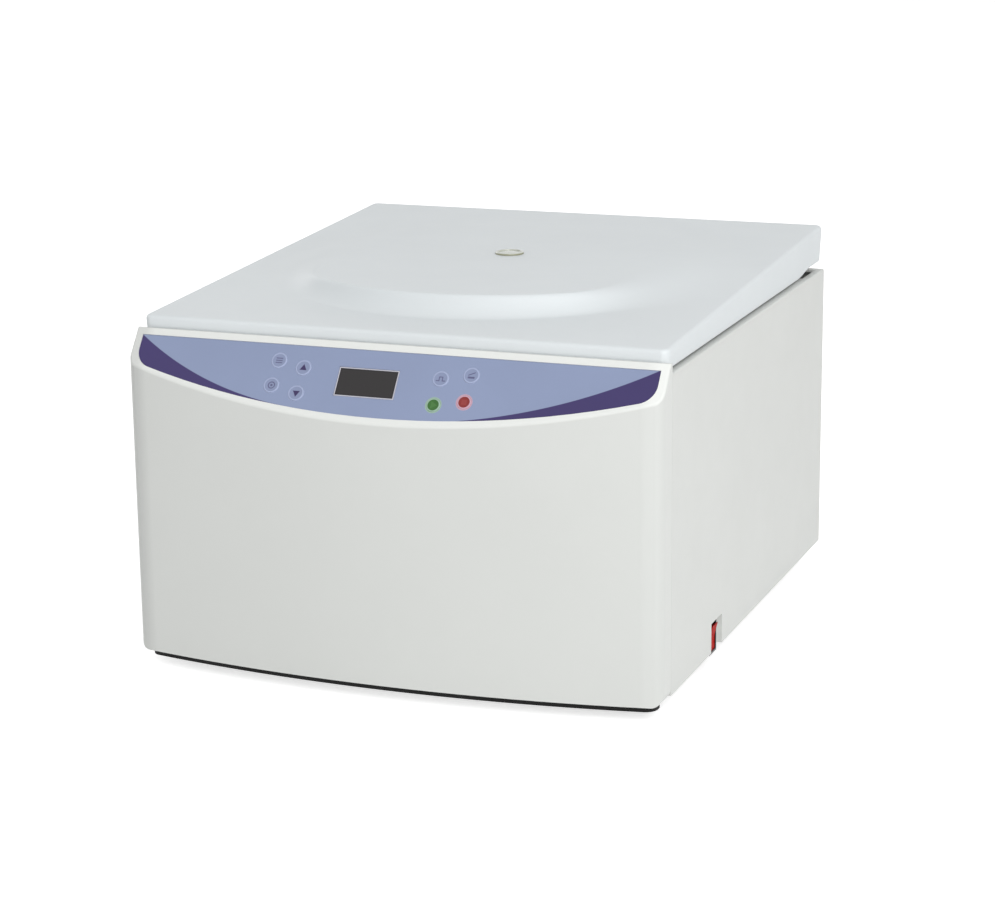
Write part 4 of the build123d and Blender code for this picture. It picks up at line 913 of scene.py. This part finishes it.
def tubeRing(radius, wire, placing, count=72):
    # A wire bent to a ring: a circle carried round the axis.
    profile = arc(radius, 0, wire, around(10))
    return gridFaces(spun(profile, around(count), placing), wrapRows=True, wrapColumns=True)


def makeGuard():
    # Wire rings welded on four spokes, each of which ends in an eye for a screw. The inlet's two screws are
    # made with the guard's.
    wire = fan["wire"]
    ringPlace = facingRear((fan["x"], rearFace + 3 * wire, fan["z"]))
    hub = Vector((fan["x"], rearFace + wire, fan["z"]))
    reach = fan["screws"] - fan["eye"] - fan["rings"][0]
    spoke = [(0, 0), (wire, 0), (wire, reach), (0, reach)]
    parts = [tubeRing(radius, wire, ringPlace) for radius in fan["rings"]]
    heads = []
    for turn in pi / 4 + np.arange(4) * pi / 2:
        away = Vector((cos(turn), 0, sin(turn)))
        placing = facing(hub + away * fan["rings"][0], (0, 1, 0), away)
        parts.append(gridFaces(spun(spoke, around(12), placing), wrapColumns=True))
        middle = hub + away * fan["screws"]
        parts.append(tubeRing(fan["eye"], wire, facingRear(middle), 32))
        heads.append(screwHead(middle - Vector((0, wire, 0)), rearward, *fan["screwSize"]))
    piece = meshOf("fanGuard", parts, darkSteel, 60)
    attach(piece, "cabinet")
    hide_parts("fan_guard")
    flange = [screwHead((inlet["x"] + side * inlet["screws"], inlet["flange"], inlet["z"]), rearward,
                        *inlet["screwSize"]) for side in (-1, 1)]
    screwPiece("rearScrews", heads + flange, "cabinet")


def fanBlade(turn):
    # Loops round a thin arched section, one for each radius. The section's pitch eases off and its chord grows
    # towards the tip, and its run along the chord is wrapped round the axis.
    reach = np.linspace(fan["hub"] - fan["root"], fan["tip"], 9)[:, None]
    share = (reach - reach[0]) / (reach[-1] - reach[0])
    pitch, chord = (blend(*ends, share) for ends in (np.radians(fan["pitch"]), fan["chord"]))
    loop = around(24)
    run = 0.5 * np.cos(loop)
    lift = fan["arch"] * (1 - 4 * run * run) + fan["thick"] * np.sin(loop)
    sideways = run * chord * np.cos(pitch) - lift * np.sin(pitch)
    along = run * chord * np.sin(pitch) + lift * np.cos(pitch)
    angle = turn + sideways / reach + fan["sweep"] * share
    return np.stack([reach * np.cos(angle), reach * np.sin(angle), along], -1)


def makeImpeller():
    # A hub with a bore and a shallow dish behind, and curved blades round it.
    low, high = fan["span"]
    half = (high - low) / 2
    placing = facingRear((fan["x"], (low + high) / 2, fan["z"]))
    hub, bore, wall, draft, dish = picked(fan, "hub bore wall draft dish")
    front = [(hub - inset, -half + drop) for inset, drop in fan["hubEdge"]]
    back = [(hub - inset, half - drop) for inset, drop in reversed(fan["hubEdge"])]
    hollow = [(hub - wall, half), (hub - wall - draft, half - dish), (bore + wall, half - dish),
              (bore + wall - draft, half)]
    cup = [(bore, -half), *front, *back, *hollow, (bore, half)]
    parts = [gridFaces(spun(cup, around(64), placing), wrapRows=True, wrapColumns=True)]
    for turn in around(fan["blades"]):
        parts.append(capped(fanBlade(turn), placing))
    piece = meshOf("fanWheel", parts, blackPlastic, 50)
    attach(piece, "impeller")
    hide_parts("fan_impeller")


fuses = {
    "x": 0.050, "z": (0.050, 0.074), "body": 0.006, "depth": 0.028, "cap": 0.008, "rise": 0.006,
    "collar": 0.0012, "step": 0.0004, "flutes": 18, "groove": 0.0004, "bevel": (0.0013, 0.0008),
    "slot": (0.0052, 0.0007, 0.0014),  # half its length, half its width and its depth
}


def makeFuses():
    # A round barrel behind the panel and a fluted cap with a coin slot in front of it.
    turns = around(144)
    fluted = fuses["cap"] - fuses["groove"] * (0.5 + 0.5 * np.cos(fuses["flutes"] * turns))
    half, wide, deep = fuses["slot"]
    slot = oblongReach(turns, half, wide)
    rise, cap, body, depth, collar = picked(fuses, "rise cap body depth collar")
    inset, drop = fuses["bevel"]
    rings = [(0, -depth), (body, -depth), (body, 0), (cap, 0), (cap, collar), (fluted, collar + fuses["step"]),
             (fluted, rise - drop), (cap - inset, rise), (slot, rise), (slot, rise - deep), (0, rise - deep)]
    placings = [facingRear((fuses["x"], rearFace, z)) for z in fuses["z"]]
    parts = [gridFaces(spun(rings, turns, placing), wrapColumns=True) for placing in placings]
    piece = meshOf("fuseCaps", parts, blackPlastic, 30)
    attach(piece, "cabinet")
    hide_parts("fuse_holders")


makeGuard()
makeImpeller()
makeFuses()


def inletFinish():
    # Black plastic. The three blades in the socket are plated metal, which a box round them picks out.
    finish = Finish("inletPlastic")
    spot, x, y, z = finish.spots()
    box = ((x - inlet["x"]).abs() < inlet["bladesAcross"]) * ((z - inlet["z"]).abs() < inlet["bladesUp"])
    blade = box * (y > inlet["bladesAlong"][0]) * (y < inlet["bladesAlong"][1])
    tone = finish.cloud(spot, 30.0).ease(0.3, 0.7)
    black = finish.mix(tone, shade(22, 22, 23), shade(27, 27, 28))
    finish.feed("Base Color", finish.mix(blade, black, inlet["metal"]))
    finish.feed("Metallic", blade)
    finish.gloss(spot, 60.0, 4.0, 0.35, 0.14, 0.36)
    finish.grain(spot, 1400.0, 0.00003)
    return finish


board = {
    "face": 0.02175, "canTop": 0.0472, "cansFrom": -0.1,  # heights, and where the cans start along x
    "runs": ((0.4, 0.006, 0.0022), (-0.3, 0.011, 0.003)),  # a slant, a spacing and a width for each direction
    "laminate": (0.015, 0.10, 0.04), "copper": (0.035, 0.17, 0.07), "module": (0.02, 0.02, 0.02),
    "sleeve": ((0.012, 0.014, 0.03), (0.02, 0.024, 0.05)), "can": (0.6, 0.6, 0.6),
}


def boardFinish():
    # Green laminate with copper runs under its lacquer. What stands above it is picked out by height and side:
    # sleeved capacitors with bare tops, and a dark power module.
    finish = Finish("inverterBoard", Coat_Weight=0.2)
    spot, x, y, z = finish.spots()
    above = z > board["face"]
    cans = x > board["cansFrom"]
    top = (z > board["canTop"]) * cans
    (slant, spacing, width), (slantBack, gapSpacing, gapWidth) = board["runs"]
    runs = ((x + y * slant).wrap(spacing) < width) * ((y + x * slantBack).wrap(gapSpacing) > gapWidth)
    green = finish.mix(runs, board["laminate"], board["copper"])
    sleeve = finish.mix(finish.cloud(spot, 60.0).ease(0.3, 0.7), *board["sleeve"])
    part = finish.mix(cans, board["module"], finish.mix(top, sleeve, board["can"]))
    finish.feed("Base Color", finish.mix(above, green, part))
    finish.feed("Metallic", top * above)
    finish.gloss(spot, 80.0, 3.0, 0.3, 0.15, 0.35)
    finish.feed("Normal", finish.bump(runs * (z < board["face"]) + finish.cloud(spot, 900.0) * 0.3, 0.00004))
    return finish


dress(inletFinish(), "power_inlet")
dress(boardFinish(), "inverter_board")
print("rear face made")

view = {
    "target": (0.00018, 0.00538, 0.12942), "distance": 2.19625, "yaw": 21.18, "pitch": 14.43, "roll": -0.661,
    "lens": 96.14, "sensor": 36.0,
}


def makeCamera():
    # The camera looks at the target from the given turn and height, then rolls about its own axis.
    yaw, pitch, roll = (radians(value) for value in picked(view, "yaw pitch roll"))
    back = Vector((sin(yaw) * cos(pitch), -cos(yaw) * cos(pitch), sin(pitch)))
    right = (-back).cross(Vector((0, 0, 1))).normalized()
    up = back.cross(right)
    turned, raised = right * cos(roll) + up * sin(roll), up * cos(roll) - right * sin(roll)
    data = bpy.data.cameras.new("camera")
    data.lens, data.sensor_width, data.clip_end = view["lens"], view["sensor"], 50.0
    camera = bpy.data.objects.new("camera", data)
    place = Vector(view["target"]) + back * view["distance"]
    camera.matrix_world = Matrix.Translation(place) @ Matrix((turned, raised, back)).transposed().to_4x4()
    bpy.context.scene.collection.objects.link(camera)
    bpy.context.scene.camera = camera


makeCamera()

lights = {
    "key": {"from": (2.06, -2.24, 1.92), "size": 2.6, "power": 78.0},
    "rear": {"from": (-2.7, 1.6, 0.9), "size": 2.0, "power": 18.0},
}
world = {"light": 0.56, "floor": 0.64, "aim": (0, 0, 0.13), "floorHalf": 6, "floorCells": 24}


def makeLights():
    # Square lamps, each turned to the aim.
    for name, values in lights.items():
        data = bpy.data.lights.new(name, "AREA")
        data.energy, data.size, data.shape = values["power"], values["size"], "SQUARE"
        lamp = bpy.data.objects.new(name, data)
        away = Vector(values["from"])
        lamp.location = away
        lamp.rotation_euler = (away - Vector(world["aim"])).to_track_quat("Z", "Y").to_euler()
        bpy.context.scene.collection.objects.link(lamp)


def seenDirectly(sheet):
    # 1 for rays that show a surface to the camera, in a mirror or through glass, 0 for those that light it.
    rays = sheet.add("LightPath").socket.node.outputs
    kinds = ("Is Camera Ray", "Is Glossy Ray", "Is Transmission Ray")
    camera, glossy, through = (Flow(sheet, rays[kind]) for kind in kinds)
    return camera.most(glossy).most(through)


def makeWorld():
    # Plain white to the camera, to mirrors and through glass, and a softer white that lights the object.
    scene = bpy.context.scene
    scene.world = bpy.data.worlds.new("studio")
    scene.world.use_nodes = True
    sheet = Sheet(scene.world.node_tree)
    back = sheet.tree.nodes["Background"]
    sheet.join(back.inputs["Color"], (1.0, 1.0, 1.0))
    sheet.join(back.inputs["Strength"], seenDirectly(sheet) * (1.0 - world["light"]) + world["light"])


def makeFloor():
    # A wide pale sheet. What the camera sees of it is lifted to white, so only the shadow stays.
    finish = Finish("floorPaper", Roughness=0.9, Emission_Strength=1.0)
    grain = finish.cloud(finish.place(), 6.0, 2.0)
    finish.feed("Base Color", finish.mix(grain.ease(0.3, 0.7), (0.80, 0.80, 0.80), (0.82, 0.82, 0.82)))
    finish.feed("Emission Color", finish.mix(seenDirectly(finish), (0.0, 0.0, 0.0), (world["floor"],) * 3))
    spread = np.linspace(-world["floorHalf"], world["floorHalf"], world["floorCells"] + 1)
    across, along = np.meshgrid(spread, spread, indexing="ij")
    points = np.stack([across, along, 0 * across], -1)
    floor = gridMesh("floor", points, finish, flip=True)


makeLights()
makeWorld()
makeFloor()
bpy.context.scene.view_settings.view_transform = "Standard"
print("studio ready")
